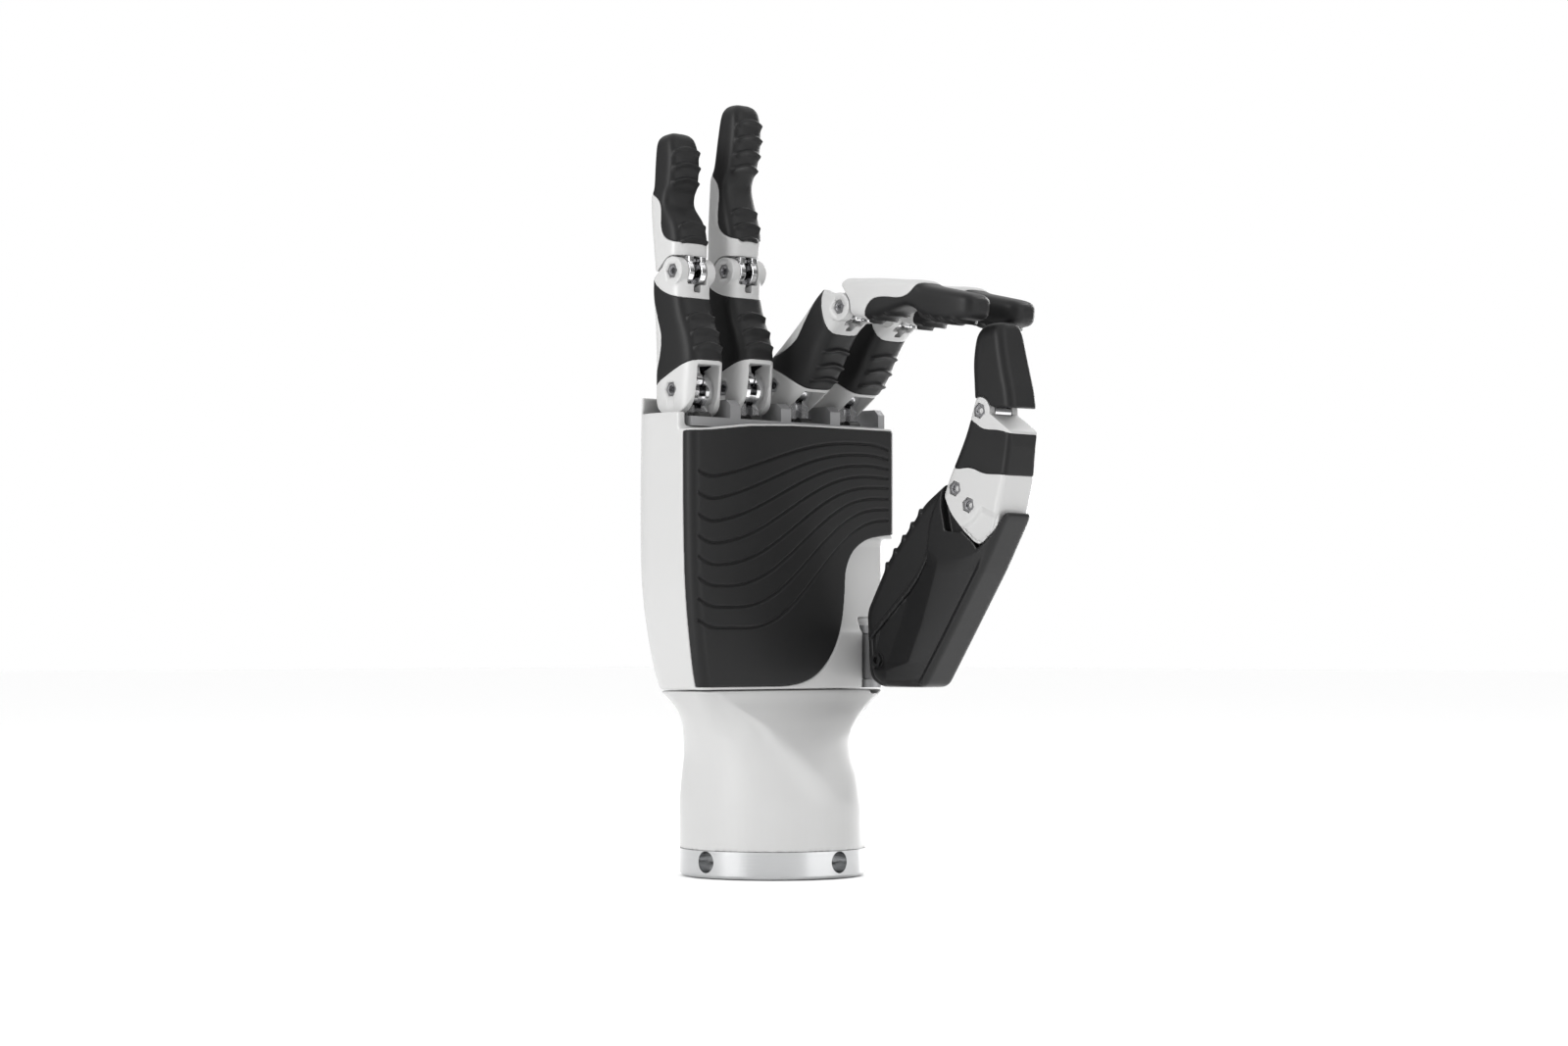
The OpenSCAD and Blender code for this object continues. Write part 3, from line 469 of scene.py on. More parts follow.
def addCups(name, body, spots, where):
    # each spot: half the width between the two faces, place in the side outline
    cups = []
    for half, at in spots:
        for side in (-1, 1):
            cup = plate(hexagon(socket["cup"], at), socket["cupHalf"], side * (half - socket["sunk"]))
            cups.append(shaped(cup, cut=[plate(disc(socket["bore"], at), 1, side * half)]))
    piece = bpy.data.objects.new(name, joined(cups))
    scene.collection.objects.link(piece)
    rim = piece.modifiers.new("rim", "BEVEL")
    rim.width, rim.segments = socket["rim"] * mm, 2
    finishPiece(piece, name, body, "steel", (), where, 30)


# the fingers; side outlines are (distance to the palm side, height) from the section's own pin
finger = dict(
    names=["little", "ring", "middle", "index"],
    width=14.0, earWidth=13.2, earThick=3.0, runGap=0.3, linkThick=2.0, lugWall=2.6,
    base=7.4, ear=4.0, pinBore=1.35, lugRoom=6.2,
    tipLength=dict(little=39.4, ring=47.4, middle=48.0, index=47.0),
    tipLean=dict(little=-5.0, ring=2.5, middle=0.0, index=0.0),
    horn=(-3.2, 4.4), ridgeHeight=0.95, ridgeWidth=0.55,
)
finger["link"] = np.linalg.norm(np.subtract(jointAt["ring_middle_joint"], jointAt["ring_knuckle"]))
finger["lugIn"] = finger["linkThick"] / 2 + finger["runGap"]
finger["slotHalf"] = finger["lugIn"] + finger["lugWall"] + finger["runGap"]
finger["hingeOut"] = finger["earWidth"] / 2 - finger["earThick"] - finger["runGap"]


def bendOf(name):
    knuckle, middle = jointAt[name + "_knuckle"], jointAt[name + "_middle_joint"]
    return math.degrees(math.atan2(knuckle[1] - middle[1], middle[2] - knuckle[2]))


def lip(d, above, below):
    # a raised line, steep above and falling away slowly below
    return np.exp(-((d / np.where(d > 0, above, below)) ** 2))


def ridges(heights, halfWidth, rise=1.5):
    # raised arcs across the palm side of a section
    above, below = 0.6 * finger["ridgeWidth"], 1.8 * finger["ridgeWidth"]

    def relief(points, normals):
        x, z = points[:, 0], points[:, 2]
        facing = np.clip((-normals[:, 1] - 0.25) / 0.3, 0, 1)
        fade = np.clip((halfWidth - abs(x)) / 0.9, 0, 1)
        up = np.zeros(len(points))
        for h in heights:
            d = z - (h + rise * (1 - (x / halfWidth) ** 2) - rise / 2)
            up = np.maximum(up, lip(d, above, below))
        return finger["ridgeHeight"] * up * facing * fade
    return relief


def ears(half):
    return plate(disc(finger["ear"], (0, finger["link"])), half)


def nearLoft():
    w, l, e = finger["width"] / 2, finger["link"], finger["earWidth"] / 2
    stations = [(-9, w, 7.4, 7.6), (-3, w, 7.6, 8), (3, w, 8.2, 8.1), (9, w, 8.5, 8.1),
                (0.45 * l, w - 0.1, 7.2, 8.3), (0.62 * l, w - 0.2, 4.9, 8.6), (0.78 * l, w - 0.3, 3.5, 9.2),
                (0.9 * l, e, 3.6, 9.4), (l + 5, e, 4.2, 9)]
    edge = [(-7.4, 0), (-9, 3), (-9.2, l - 6), (-8.6, l - 1.6), (-6.6, l - 0.9), (-3.6, l + 1.6), (0, l + 1),
            (4, l), (4.6, l - 5), (9, l * 0.7), (9, 3), (7.4, 0)]
    side = shaped(plate(rounded(edge, 1.2), wide), add=[plate(disc(finger["base"]), wide), ears(wide)])
    return shaped(loft("near", ovalRings(stations)), keep=[side], add=[ears(e)])


def nearSleeve():
    # the part of the near section that is rubber
    l = finger["link"]
    edge = [(-9.8, l + 0.6), (-6.4, l - 4), (-1.4, l - 6.6), (4, l - 7.8), (10, l - 8.2), (10, 8.4), (6, 7.4),
            (1.1, 5.4), (-3, 3.4), (-8.4, 0.6), (-9.8, -0.4), (-7.8, 3.2), (-5, 8), (-3.7, 14), (-4.9, 18),
            (-8, 26), (-9.2, 30)]
    return plate(rounded(edge, 3), wide)


def nearCore():
    # the white block inside the rubber sleeve
    l = finger["link"]
    edge = [(-5.6, 0), (-5, 18), (-5.6, l - 2), (1.8, l - 3), (1.8, l - 10), (4.2, 14), (5.6, 4)]
    return plate(edge, finger["lugIn"] + 2.5)


def nearCuts():
    l, slot, room = finger["link"], finger["slotHalf"], finger["lugRoom"]
    hinge = finger["hingeOut"] + finger["runGap"]
    tunnel = [(-4.3, 2), (-2.3, 18), (-3.1, 26), (-5.4, l + 1), (-5.4, l + 9), (5.4, l + 9), (5.4, l),
              (3.2, l - 6), (2.3, 18), (4.4, 3)]
    return [
        # round the palm's chrome fork
        plate(disc(room), slot),
        plate(oblong(-room, -12, room, 0), slot),
        plate(oblong(-0.4, -13, 13, 6.8), slot),
        # round the chrome fork of the tip section
        plate(disc(finger["ear"] + finger["runGap"], (0, l)), hinge),
        plate(oblong(-12, l - 3.6, 12, l + 10.4), hinge),
        # along the chrome link
        plate(tunnel, finger["lugIn"]),
    ]


def nearFrameMesh():
    l = finger["link"]
    sleeve = shaped(nearSleeve(), cut=[nearCore()])
    bores = [plate(disc(finger["pinBore"]), wide), plate(disc(finger["pinBore"], (0, l)), wide)]
    block = shaped(nearLoft(), cut=[sleeve] + nearCuts() + bores)
    softened(block, 0.22, 3, 0.3)
    return meshOf(shaped(block, cut=hexPockets(finger["width"] / 2, (0, 0), socket["pocket"], 1.2)
                         + hexPockets(finger["earWidth"] / 2, (0, l), socket["pocket"], 0.9)))


def nearGripMesh():
    block = shaped(nearLoft(), keep=[nearSleeve()], cut=[nearCore()] + nearCuts())
    return meshOf(softened(block, 0.22, 3, 0.4, ridges((11.9, 16, 20.3), 5.4)))


def leaning(piece, name):
    piece.data.transform(Matrix.Rotation(math.radians(finger["tipLean"][name]), 4, "X"))
    return piece


def farLoft(name):
    l, e = finger["tipLength"][name], finger["earWidth"] / 2
    stations = [(-5, e, 2.6, 8.3), (4, e, 2.6, 8.4), (9, e, 3.2, 8.6), (14, e - 0.1, 2.2, 8.7),
                (0.48 * l, 6.1, -0.8, 8.6), (0.56 * l, 5.9, -0.4, 8.6), (0.63 * l, 5.8, 1.2, 7.4),
                (0.8 * l, 5.7, 2.4, 6.4), (0.93 * l, 5.2, 1.8, 5.6), (0.98 * l, 4, 0.8, 4.6),
                (l, 2.2, -0.6, 3.2)]
    skin = leaning(loft("far", ovalRings(stations)), name)
    # the foot of the section, hollowed round the ears of the near section
    gap = finger["ear"] + finger["runGap"]
    heel = [(-3, 3.1), (-6.2, 0.2), (-9, 1), (-12, 3), (-12, -5), (0, -5)]
    cuts = [disc(gap), oblong(-5.6, -4, 14.4, 0), oblong(0, gap, 14, -8), heel]
    foot = shaped(plate(oblong(-12, -1.4, 12, l + 6.6), wide), cut=[plate(cut, wide + 1) for cut in cuts])
    return shaped(skin, keep=[foot])


def tipSide(name):
    # the part of the tip section that is rubber
    l = finger["tipLength"][name]
    edge = [(-12, 0.67 * l), (-8.2, 0.6 * l), (-4.6, 0.54 * l), (-3.2, 0.47 * l), (-3.5, 0.33 * l),
            (-2.7, 0.26 * l), (-0.6, 0.22 * l), (3, 0.19 * l), (12, 0.175 * l), (12, l + 5), (-12, l + 5)]
    return leaning(plate(rounded(edge, 3), wide), name)


def hingeSeat():
    half = finger["hingeOut"] + 0.02
    step = [(-7, -2), (5, -2), (5, 4.4), (1.3, 4.4), (1.3, 8), (-7, 8)]
    return [plate(oblong(-5, 0, 1.4, 12.1), half), plate(step, half)]


def hingeMesh():
    # chrome fork in the middle joint: two cheeks slotted for the link, and the horn its upper pin runs in
    half, slot = finger["hingeOut"] - 0.02, finger["lugIn"]
    fork = shaped(plate(disc(3.75), half), add=[plate(oblong(-4.9, 0.1, 1.25, 12), half),
                                                plate(disc(2.2, finger["horn"]), half),
                                                plate(oblong(0.2, 2.5, 3.5, 4.15), half)])
    shaped(fork, cut=[plate(oblong(-8, -6.2, 1.1, 8.4), slot), plate(oblong(1, -6.1, 8, 8.4), slot)])
    return meshOf(softened(fork, 0.14, 1, 0.3))


def shellMesh(name):
    return meshOf(softened(shaped(farLoft(name), cut=[tipSide(name)] + hingeSeat()), 0.22, 4, 0.3))


def tipMesh(name):
    l = finger["tipLength"][name]
    heights = [l - 5.4, l - 9.6, l - 13.8, 8.9, 13] + ([l - 17.8, 17.2] if l > 42 else [])
    tip = shaped(farLoft(name), keep=[tipSide(name)], cut=hingeSeat())
    return meshOf(softened(tip, 0.24, 5, 0.45, ridges(heights, 5.2)))


def makeFingers():
    frameMesh, gripMesh, forkMesh = nearFrameMesh(), nearGripMesh(), hingeMesh()
    ratio = follows["ring_middle_joint"]
    pins = [(finger["width"] / 2, (0, 0)), (finger["earWidth"] / 2, (0, finger["link"]))]
    for name in finger["names"]:
        bend = bendOf(name)
        near = placed(jointAt[name + "_knuckle"], bend)
        far = placed(jointAt[name + "_middle_joint"], bend * (1 + ratio))
        parts = [(frameMesh.copy(), "frame", near, "near"), (gripMesh.copy(), "grip", near, "near"),
                 (shellMesh(name), "shell", far, "far"), (tipMesh(name), "tip", far, "far"),
                 (forkMesh.copy(), "hinge", far, "far")]
        for mesh, part, where, body in parts:
            node = name + "_" + part
            piece = bpy.data.objects.new(node, mesh)
            scene.collection.objects.link(piece)
            finishPiece(piece, node + "Form", name + "_" + body, slotOfNode[node], [node], where)
        addCups(name + "SocketCups", name + "_near", pins, near)
    print("fingers made")


# the palm, and the wrist from the flange up to the seam
palm = dict(left=-41.0, right=41.0, front=10.0, back=17.0, seam=52.2, top=127.0, padThick=4.0, side=4.0,
            fingerDepth=-3.0, grooves=8, grooveDepth=0.8, grooveWidth=0.33,
            coverDeep=2.2, coverGap=0.2, coverCorner=6, seat=2.4, seatDeep=1.25,
            rootGap=1.2, rootHigh=20.3, cornerHigh=43, cornerDeep=3.5, cornerRadius=9)
wrist = dict(radius=26.2, flangeHeight=7.5)


def wristStations():
    r, f, p = wrist["radius"], wrist["flangeHeight"], palm
    h = p["seam"] - f
    return [
        (f, -r, r, r, r, r, r),
        (f + 0.18 * h, -r, r, r, r, r, r),
        (f + 0.32 * h, -r, r, r, r, r, r),
        (f + 0.46 * h, -r, r, r - 2.2, r - 2, r - 2.2, r - 2),
        (f + 0.6 * h, -r - 0.2, r - 0.8, r - 6, r - 5.2, r - 6, r - 5.4),
        (f + 0.72 * h, -r - 0.8, r - 0.4, r - 10.2, r - 8.4, 15, 16),
        (f + 0.82 * h, -r - 2.8, r + 2.6, r - 13, r - 10.6, 11, 14),
        (f + 0.91 * h, p["left"] + 8.8, p["right"] - 7.6, 10.6, 13.8, 7, 11.5),
        (p["seam"] - 0.3, p["left"] + 5, p["right"] - 3, p["front"] - 0.2, p["back"] - 3, 4.6, 9.8),
    ]


def makeWrist():
    body = loft("wrist", boxRings(wristStations(), 8, 20))
    # the notch in the top edge, below the thumb's root
    x, y, z = palm["right"] - 11, -palm["front"], palm["seam"]
    shaped(body, cut=[brick((x, y - 2, z - 1.6), (x + 4.8, y + 5, z + 3))])
    softened(body, 0.5, 3, 0.3)
    finishPiece(body, "wristForm", "palm", "white_shell", ["wrist_housing"])
    print("wrist made")


def palmLoft():
    a, b, f, k, z, top = (palm[key] for key in ("left", "right", "front", "back", "seam", "top"))
    stations = [(z, a + 5, b - 3, f - 0.2, k - 3, 3, 9.8), (z + 9, a + 3.2, b - 1.6, f, k - 1.4, 3, 9.8),
                (z + 27, a + 1, b - 0.4, f, k, 3, 9.8), (z + 48, a + 0.2, b, f, k, 3, 9.8),
                (top + 6.4, a, b, f, k - 0.6, 3, 9.8)]
    return loft("palm", boxRings(stations, 8, 12))


def padBlock():
    a, b, z, top = palm["left"], palm["right"], palm["seam"], palm["top"]
    edge = [(a - 20, z + 0.8), (b - 45, z + 0.8), (b - 37, z + 2), (b - 31, z + 5.2), (b - 26, z + 10.8),
            (b - 22.6, z + 18.8), (b - 21.6, z + 27.8), (b - 21.4, z + 33.8), (b - 18.6, z + 39.2),
            (b - 13, z + 42.6), (b - 5, z + 44.2), (b + 20, z + 44.6), (b + 20, top - 0.6),
            (a + 40, top - 0.9), (a + 22, top - 1.7), (a + 6, top - 3.5), (a - 20, top - 4.2)]
    return slab(rounded(edge, 4), -outside, -palm["front"] + palm["padThick"])


def grooveHeight(x, k):
    # a groove runs level near the little finger's side, climbs across the palm and levels out again
    low, high = palm["top"] - 17.3 - 5.78 * k, palm["top"] - 4.9 - 3.1 * k
    middle, width = -12 + 2.9 * k, 80 - 2.6 * k
    t = np.clip((x - middle) / width + 0.5, 0, 1)
    z = low + (high - low) * t**3 * (10 - 15 * t + 6 * t * t)
    z = z + 0.04 * np.clip(-31 - x, 0, None) ** 2
    return z - 0.016 * max(0, 1 - k / 4) * np.clip(x - 28, 0, None) ** 2


def padRelief(points, normals):
    x, z = points[:, 0], points[:, 2]
    facing = np.clip((-normals[:, 1] - 0.5) / 0.3, 0, 1)
    inside = np.clip((x + 38.8) / 0.6, 0, 1) * np.clip((37.8 - x) / 0.6, 0, 1)
    dent = np.zeros(len(points))
    for k in range(palm["grooves"]):
        line = grooveHeight(x, k)
        slope = (grooveHeight(x + 0.05, k) - grooveHeight(x - 0.05, k)) / 0.1
        d = (z - line) / np.sqrt(1 + slope**2)
        # the low grooves grow faint where they climb
        faint = 1 - 0.16 * max(0, k - 4) * np.exp(-(((x - 17) / 8) ** 2))
        dent = np.maximum(dent, faint * np.exp(-((d / palm["grooveWidth"]) ** 2)))
    return -palm["grooveDepth"] * dent * facing * inside


def coverParts():
    # the cover let into the back, with a seat for each screw, and the room left for it
    a, b, z, top, back = palm["left"], palm["right"], palm["seam"], palm["top"], palm["back"]
    line = [(a + 13, z + 8), (b - 12, z + 8), (b - 9, z + 30), (b - 9, top - 8), (a + 9, top - 8),
            (a + 9, z + 30)]
    screws = [(a + 17, z + 13.5), (b - 16, z + 13.5), (a + 14.5, top - 13.5), (b - 14.5, top - 13.5)]
    depth, behind, corner = back - palm["coverDeep"], 40, palm["coverCorner"]
    lid = slab(rounded(inset(line, palm["coverGap"]), corner), depth, behind)
    seats = [slab(disc(palm["seat"], at, 32), back - palm["seatDeep"], behind) for at in screws]
    return shaped(palmLoft(), keep=[lid], cut=seats), slab(rounded(line, corner), depth, behind + 1)


def topCuts():
    # the top edge: low in front, a wall left standing at the back and at the little finger's side
    a, b, top = palm["left"], palm["right"], palm["top"]
    side, backWall, above = a + palm["side"] - 1.4, -(palm["fingerDepth"] - 9.6), top + 40
    sill = [(a - 5, top - 3.4), (a + 6, top - 2.8), (a + 22, top - 1), (a + 40, top - 0.2), (b + 5, top),
            (b + 5, top + 30), (a - 5, top + 30)]
    barBottom = nodeBox("knuckle_frame")[0][2]
    return [
        brick((side, -outside, top), (b + outside, backWall, above)),
        brick((a - 1, -outside, top + 1.7), (b + outside, backWall, above)),
        slab(sill, -outside, -palm["front"] + palm["padThick"] + 1.5),
        brick((side, -5.4, barBottom), (b + outside, 9.2, above)),
    ]


def thumbScoop():
    # the face beside the pad, which falls back behind the thumb
    f, z = palm["front"], palm["seam"]
    line = [(f + 20, z + 15), (f, z + 15), (f - 2.2, z + 20), (f - 3.6, z + 27), (f - 3.8, z + 43),
            (f + 20, z + 43)]
    return plate(rounded(line, 3), 30, palm["right"] - 12)


def rootCuts():
    # room for the sleeve on the thumb's pivot pin, and for its arm as it turns forward and outward
    low, high = nodeBox("thumb_pivot_pin")
    x, y = ((low + high) / 2)[:2]
    r = nodeBox("thumb_swivel")[1][0] - x + palm["rootGap"]
    z0, z1 = palm["seam"] - 1, palm["seam"] + palm["rootHigh"]
    return [column(disc(r, (x, y)), z0, z1), brick((x - r, -41, z0), (x + outside, y, z1)),
            brick((x, -41, z0), (x + outside, y + r, z1))]


def rootCorner():
    # what goes of the front corner over the root, leaving a round one
    r, x, y = palm["cornerRadius"], palm["right"] - palm["cornerRadius"], palm["cornerDeep"]
    low = (x, -palm["front"] - 1, palm["seam"] + palm["rootHigh"] - 1)
    block = brick(low, (palm["right"] + 11, y, palm["seam"] + palm["cornerHigh"]))
    return shaped(block, cut=[column(np.array([x, y]) + disc(r) * [1, 1.5], 0, 200)])


def makePalm():
    body = shaped(palmLoft(), cut=topCuts() + [padBlock(), thumbScoop()] + rootCuts() + [rootCorner()])
    cover, room = coverParts()
    shaped(body, cut=[room])
    softened(body, 0.42, 4, 0.25)
    finishPiece(softened(cover, 0.3, 3, 0.3), "backCoverForm", "palm", "white_shell", ["back_cover"])
    finishPiece(body, "palmForm", "palm", "white_shell", ["palm_housing"])
    print("palm made")
    pad = shaped(palmLoft(), keep=[padBlock()])
    softened(pad, 0.26, 6, 0.3, padRelief)
    finishPiece(pad, "palmPadForm", "palm", "black_rubber", ["palm_pad"])
    print("pad made")


# the thumb; its side outlines are (distance to the outer side, height), and it leans outward
thumb = dict(
    x=jointAt["thumb_bend"][0], width=13.2, tipLean=-6.0, tipLength=23.5, range=30, rod=(6.3, -2.5),
    knuckle=(-jointAt["thumb_bend"][1], jointAt["thumb_bend"][2]),
    joint=(-jointAt["thumb_tip_joint"][1], jointAt["thumb_tip_joint"][2]),
    sweep=18.9, foot=22.6, edge=2.6, corner=2.0, skin=0.7, arc=11.6, hub=4.6, ear=3.7, earRoom=4,
    bolt=dict(head=1.9, washer=2.3, hole=2.5, socket=1.05),
)
thumb["lean"] = math.degrees(math.atan2(thumb["joint"][0] - thumb["knuckle"][0],
                                        thumb["joint"][1] - thumb["knuckle"][1]))
thumb["link"] = math.dist(thumb["joint"], thumb["knuckle"])
thumb["cheekIn"] = thumb["width"] / 2 - 2.2
thumb["earWidth"] = thumb["width"] - 1.2
thumb["hingeHalf"] = thumb["earWidth"] / 2 - 2.4 - finger["runGap"]
thumb["past"] = 3 * thumb["width"]  # half width of a shape that takes in the whole thumb


def inHand(at):
    return thumb["x"], -at[0], at[1]


def fromKnuckle(outline):
    # the thumb's leaning frame laid into side outlines of the hand
    return turned(outline, -thumb["lean"]) + thumb["knuckle"]


def housingBlock():
    f, z, k = thumb["foot"], palm["seam"], np.array(thumb["knuckle"])
    edge = [(f + 1, z + 3.2), (f + 5.4, z + 0.6), (f + 22, z + 0.6), k + [-3.4, -41], k + [9.2, -22.2],
            k + [18.1, -7.1], k + [-3.3, 2.4], k + [-12.5, -3.7], k + [-26.4, -19.2], (f, z + 21.8)]
    return pillow(edge, thumb["width"] / 2, thumb["edge"], thumb["corner"], thumb["x"])


def cheekEdges(grow=0.0):
    # the lower end of the near section: the round hub and the pointed blade
    blade = [(-4.4, 1), (-3.4, -3), (1.2, -6.8), (7, -9.6), (12.4, -11.2), (14.4, -10.8), (17, -6),
             (17.6, -2), (16.8, 4), (0, 4)]
    return disc(thumb["hub"] + grow), inset(blade, -grow) if grow else np.array(blade, float)


def cheekCuts(outline, outer, inArc=False):
    # room for a cheek on each side, out to the distance given from the thumb's middle
    x, inner = thumb["x"], thumb["cheekIn"] - 0.4
    cuts = []
    for side in (-1, 1):
        cut = plate(fromKnuckle(outline), (outer - inner) / 2, x + side * (outer + inner) / 2)
        if inArc:
            shaped(cut, keep=[plate(disc(thumb["arc"] + 0.3, thumb["knuckle"], 96), thumb["past"], x)])
        cuts.append(cut)
    return cuts


def housingCuts():
    w, x, swing = thumb["past"], thumb["x"], thumb["range"]
    grow = finger["runGap"] + 0.1
    hub, blade = cheekEdges(grow)
    cuts = cheekCuts(hub, w) + cheekCuts(blade, w)
    for angle in range(10, swing + 1, 10):
        # the raised round of the cheek swings in the open, the rest of it under the housing's skin
        cuts += cheekCuts(turned(blade, -angle), w, True)
        cuts += cheekCuts(turned(blade, -angle), thumb["width"] / 2 - thumb["skin"])
    rim = [(12, -3.6 - grow), (18, -3.6 - grow), (17.6, -2), (16.8, 4), (12, 4.4)]
    cuts += [plate(fromKnuckle(turned(rim, -angle)), w, x) for angle in range(0, swing + 1, 10)]
    # the hollow that the near section turns in, round the swivel's arm
    arm = [(-5.6, 0), (-14, -4), (-24, -30), (12, -30), (6.4, -8), (5.4, -2)]
    bowl = plate(disc(thumb["sweep"] - 0.6, thumb["knuckle"], 96), w, x)
    shaped(bowl, cut=[plate(disc(5.6, thumb["knuckle"]), w + 1, x), plate(fromKnuckle(arm), w + 1, x)])
    return cuts + [bowl]


def thenarSide():
    # the part of the housing that is rubber
    f, z, k = thumb["foot"], palm["seam"], np.array(thumb["knuckle"])
    line = [(f - 8, z + 8), (f + 2.4, z + 15.2), (f + 8.8, z + 21), k + [-15.4, -25], k + [-11.4, -19.6],
            k + [-9.9, -14.6], k + [-9.7, -9.6], k + [-5.3, 0.4], k + [-5.3, 12], (f - 8, k[1] + 12)]
    return plate(rounded(line, 2.5), 2 * thumb["width"], thumb["x"])


def housingRelief(points, normals):
    # long facets on the sides: a crest from head to foot and a hollow in front of the outer wall
    q, z = -points[:, 1], points[:, 2]
    k = thumb["knuckle"]
    crest = np.interp(z, [k[1] - 50, k[1] - 47.8, k[1] - 37, k[1] - 27, k[1] - 16.5, k[1] - 8],
                      [k[0] - 26, k[0] - 17.7, k[0] - 12.5, k[0] - 8.8, k[0] - 5.2, k[0] - 3])
    rim = np.interp(z, [k[1] - 54, k[1] - 41, k[1] - 22.2, k[1] - 7.1],
                    [k[0] - 12.5, k[0] - 3.4, k[0] + 9.2, k[0] + 18.1]) - 2.4
    hollow = 1.1 * np.clip((q - crest) / (rim - crest), 0, 1) ** 1.2
    hollow = np.where(q > rim, 1.1 * np.clip(1 - (q - rim) / 1.4, 0, 1), hollow)
    hollow = np.where(q < crest, 0.16 * np.clip(crest - q, 0, 9), hollow)
    # none of it where the cheeks swing under the skin
    hollow = hollow * np.clip((np.hypot(q - k[0], z - k[1]) - thumb["sweep"] - 0.5) / 4, 0, 1)
    facing = np.clip((abs(normals[:, 0]) - 0.35) / 0.4, 0, 1)
    return -hollow * facing


def thenarRelief(points, normals):
    # ridges across the face towards the palm, and the sides let in a little
    q, z = -points[:, 1], points[:, 2]
    k = thumb["knuckle"]
    low, high = np.array([thumb["foot"], palm["seam"] + 21.8]), np.array([k[0] - 3.3, k[1] + 2.4])
    way = (high - low) / np.linalg.norm(high - low)
    s = (q - low[0]) * way[0] + (z - low[1]) * way[1]
    facing = np.clip((normals[:, 1] * way[1] + normals[:, 2] * way[0] - 0.3) / 0.4, 0, 1)
    up = np.zeros(len(points))
    for h in (15.3, 20.2, 25.1, 29.9, 34.6):
        up = np.maximum(up, lip(s - h, 0.35, 1.5))
    side = np.clip((abs(normals[:, 0]) - 0.35) / 0.4, 0, 1)
    return 0.7 * up * facing - 0.5 * side


def thumbLoft(stations, palmSide=2.6, outerSide=1.6):
    # each station: height, half width, reach to the palm side, reach to the outer side
    rows = []
    for z, w, f, b in stations:
        most = min(w, (f + b) / 2)
        rows.append((z, -w, w, f, b, min(palmSide, most), min(outerSide, most)))
    return loft("thumb", [ring * [1, -1, 1] for ring in boxRings(rows, 6, 10)])


def thumbNear():
    w, l = thumb["width"] / 2, thumb["link"]
    edge = [(-4.4, 1), (0, 3), (16.8, 3.9), (16.4, 10), (12.4, l - 1.4), (3.4, l + 0.6), (-3.4, l), (-3.4, 5)]
    hub, blade = cheekEdges()
    side = shaped(plate(rounded(edge, 0.8), wide), add=[plate(hub, wide), plate(rounded(blade, 1), wide),
                                                        plate(disc(thumb["ear"], (0, l)), wide)])
    stations = [(-20, w, 4.4, 17.4), (-6, w, 4.2, 17.4), (2, w, 4, 16.6), (9, w - 0.2, 3.4, 15.8),
                (15, w - 0.5, 3.2, 14.4), (l - 2, w - 0.6, 3.4, 13), (l + 4, w - 0.6, 3.7, 12.4)]
    return shaped(thumbLoft(stations), keep=[side])


def thumbSleeve():
    # the part of the near section that is rubber
    l = thumb["link"]
    edge = [(-8, l - 3.6), (-1, l - 3.4), (3, l - 4.4), (9, l - 2.4), (22, l - 1.6), (22, 11), (15, 9.6),
            (8, 7.2), (3, 7.4), (-2, 4.8), (-8, 5.4)]
    return plate(rounded(edge, 2.5), wide)


def thumbCore():
    l = thumb["link"]
    return plate([(-1.8, 3), (-1.8, l - 1), (9, l - 1), (12, 3)], thumb["cheekIn"] - 1)


def thumbSlots():
    l, slot, hinge = thumb["link"], finger["slotHalf"], thumb["hingeHalf"] + finger["runGap"]
    # between the cheeks, with the wall at the outer side and the block above left standing
    inner = shaped(plate(disc(thumb["sweep"], (0, 0), 96), thumb["cheekIn"]),
                   cut=[plate(oblong(13.6, -3.5, 23.6, 36.5), 9), plate(oblong(-20, 3.4, 30, 43), 9)])
    arm = [(-12, -30), (-12, 3), (6, 5), (13.6, 0), (14.6, -8), (15, -30)]
    return [inner, plate(disc(finger["lugRoom"]), slot), plate(arm, slot),
            plate(disc(thumb["earRoom"], (0, l)), hinge), plate(oblong(-10, l - 3.4, 4, l + 8.6), hinge)]


def frameRelief(points, normals):
    # a shallow round step on each side under the knuckle's sockets
    q, z = -points[:, 1], points[:, 2]
    d = np.hypot(q, z) - thumb["arc"] + 0.6
    step = (thumb["skin"] + 0.1) / (1 + np.exp(-d / 0.25))
    outside = (abs(points[:, 0]) > thumb["width"] / 2 - 1.5) * np.clip((-1 - z) / 1.8, 0, 1)
    return -step * np.clip((abs(normals[:, 0]) - 0.2) / 0.3, 0, 1) * outside


def makeThumbBase():
    x, bolt = thumb["x"], thumb["bolt"]
    at, half = (thumb["foot"] + 4.4, palm["seam"] + 8.1), thumb["width"] / 2 - 0.5
    housing = shaped(housingBlock(), cut=[thenarSide()] + housingCuts())
    softened(housing, 0.28, 4, 0.3, housingRelief)
    shaped(housing, cut=[plate(disc(bolt["hole"], at), 1, x + side * (half + 0.1)) for side in (-1, 1)])
    pin = shaped(plate(hexagon(bolt["head"], (0, 0)), half), add=[plate(disc(bolt["washer"]), half - 0.75)],
                 cut=hexPockets(half, (0, 0), bolt["socket"], 1.1))
    finishPiece(pin, "thumbBoltForm", "thumb_base", "black_shell", ["thumb_swivel_bolt"],
                placed(inHand(at)), 30)
    finishPiece(housing, "thumbHousingForm", "thumb_base", "black_shell", ["thumb_housing"])
    thenar = shaped(housingBlock(), keep=[thenarSide()], cut=housingCuts())
    softened(thenar, 0.25, 5, 0.4, thenarRelief)
    finishPiece(thenar, "thumbThenarForm", "thumb_base", "black_rubber", ["thumb_thenar_pad"])


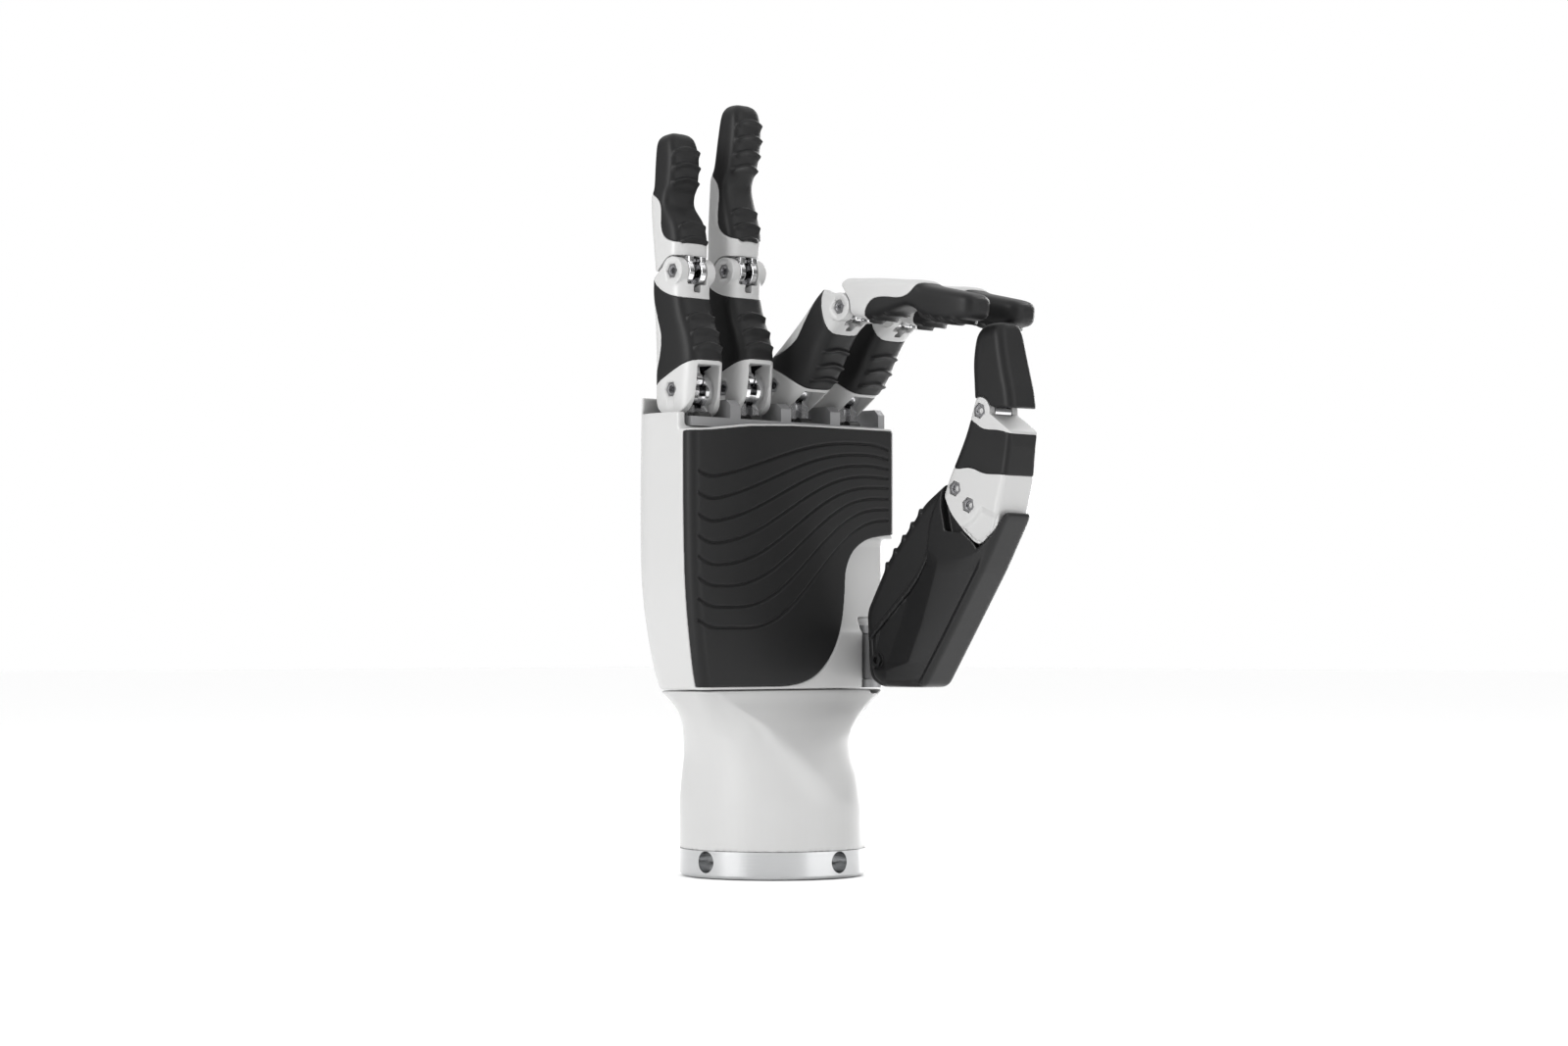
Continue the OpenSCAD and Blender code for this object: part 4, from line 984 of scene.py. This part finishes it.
def makeThumbNear():
    half, where = thumb["width"] / 2, placed(inHand(thumb["knuckle"]), thumb["lean"])
    spots = [(half, (0, 0)), (half, thumb["rod"]), (thumb["earWidth"] / 2, (0, thumb["link"]))]
    block = shaped(thumbNear(), cut=[shaped(thumbSleeve(), cut=[thumbCore()])] + thumbSlots())
    softened(block, 0.22, 3, 0.35, frameRelief)
    for (face, at), deep in zip(spots, (1.3, 1.3, 1)):
        shaped(block, cut=hexPockets(face, at, socket["pocket"], deep))
    finishPiece(block, "thumbFrameForm", "thumb_near", "white_shell", ["thumb_frame"], where, 40)
    addCups("thumbSocketCups", "thumb_near", spots, where)
    grip = shaped(thumbNear(), keep=[thumbSleeve()], cut=[thumbCore()] + thumbSlots())
    softened(grip, 0.25, 4, 0.3)
    finishPiece(grip, "thumbGripForm", "thumb_near", "black_rubber", ["thumb_grip"], where)


def makeThumbTip():
    w, l = thumb["earWidth"] / 2, thumb["tipLength"]
    stations = [(-4, w, 3, 11.6), (3.4, w, 2.8, 11.4), (8, w, 2.6, 10.8), (0.6 * l, w - 0.2, 2.3, 10),
                (0.85 * l, w - 0.6, 1, 9.4), (0.96 * l, w - 1.4, -0.6, 8.8), (l, w - 2.6, -1.8, 7.6)]
    foot = [(-12, -12), (-12, 3.8), (0, 3.8), (4, 0.6), (10, -0.6), (20, -0.9), (20, -12)]
    seat = plate(oblong(-2.4, 0, 2.6, 5.6), thumb["hingeHalf"] + 0.02)
    tip = shaped(thumbLoft(stations, 3.2, 2.6),
                 cut=[plate(disc(thumb["earRoom"]), wide), plate(foot, wide + 1), seat])
    softened(tip, 0.24, 5, 0.3)
    finishPiece(tip, "thumbTipForm", "thumb_far", "black_rubber", ["thumb_tip"],
                placed(inHand(thumb["joint"]), thumb["tipLean"]))
    print("thumb made")


def dressNodes(bevel=0.25):
    # the pieces that keep the frame's own shape get a small rounded edge and their finish
    for name, node in frame["nodes"].items():
        if node.hide_render:
            continue
        node.data.materials.clear()
        node.data.materials.append(finishFor(slotOfNode[name]))
        edge = node.modifiers.new("edge", "BEVEL")
        edge.width, edge.segments = bevel * mm, 2
        edge.limit_method, edge.angle_limit = "ANGLE", math.radians(35)
    print("small parts dressed")


makeCamera()
makeStudio()
makeFingers()
makeWrist()
makePalm()
makeThumbBase()
makeThumbNear()
makeThumbTip()
dressNodes()
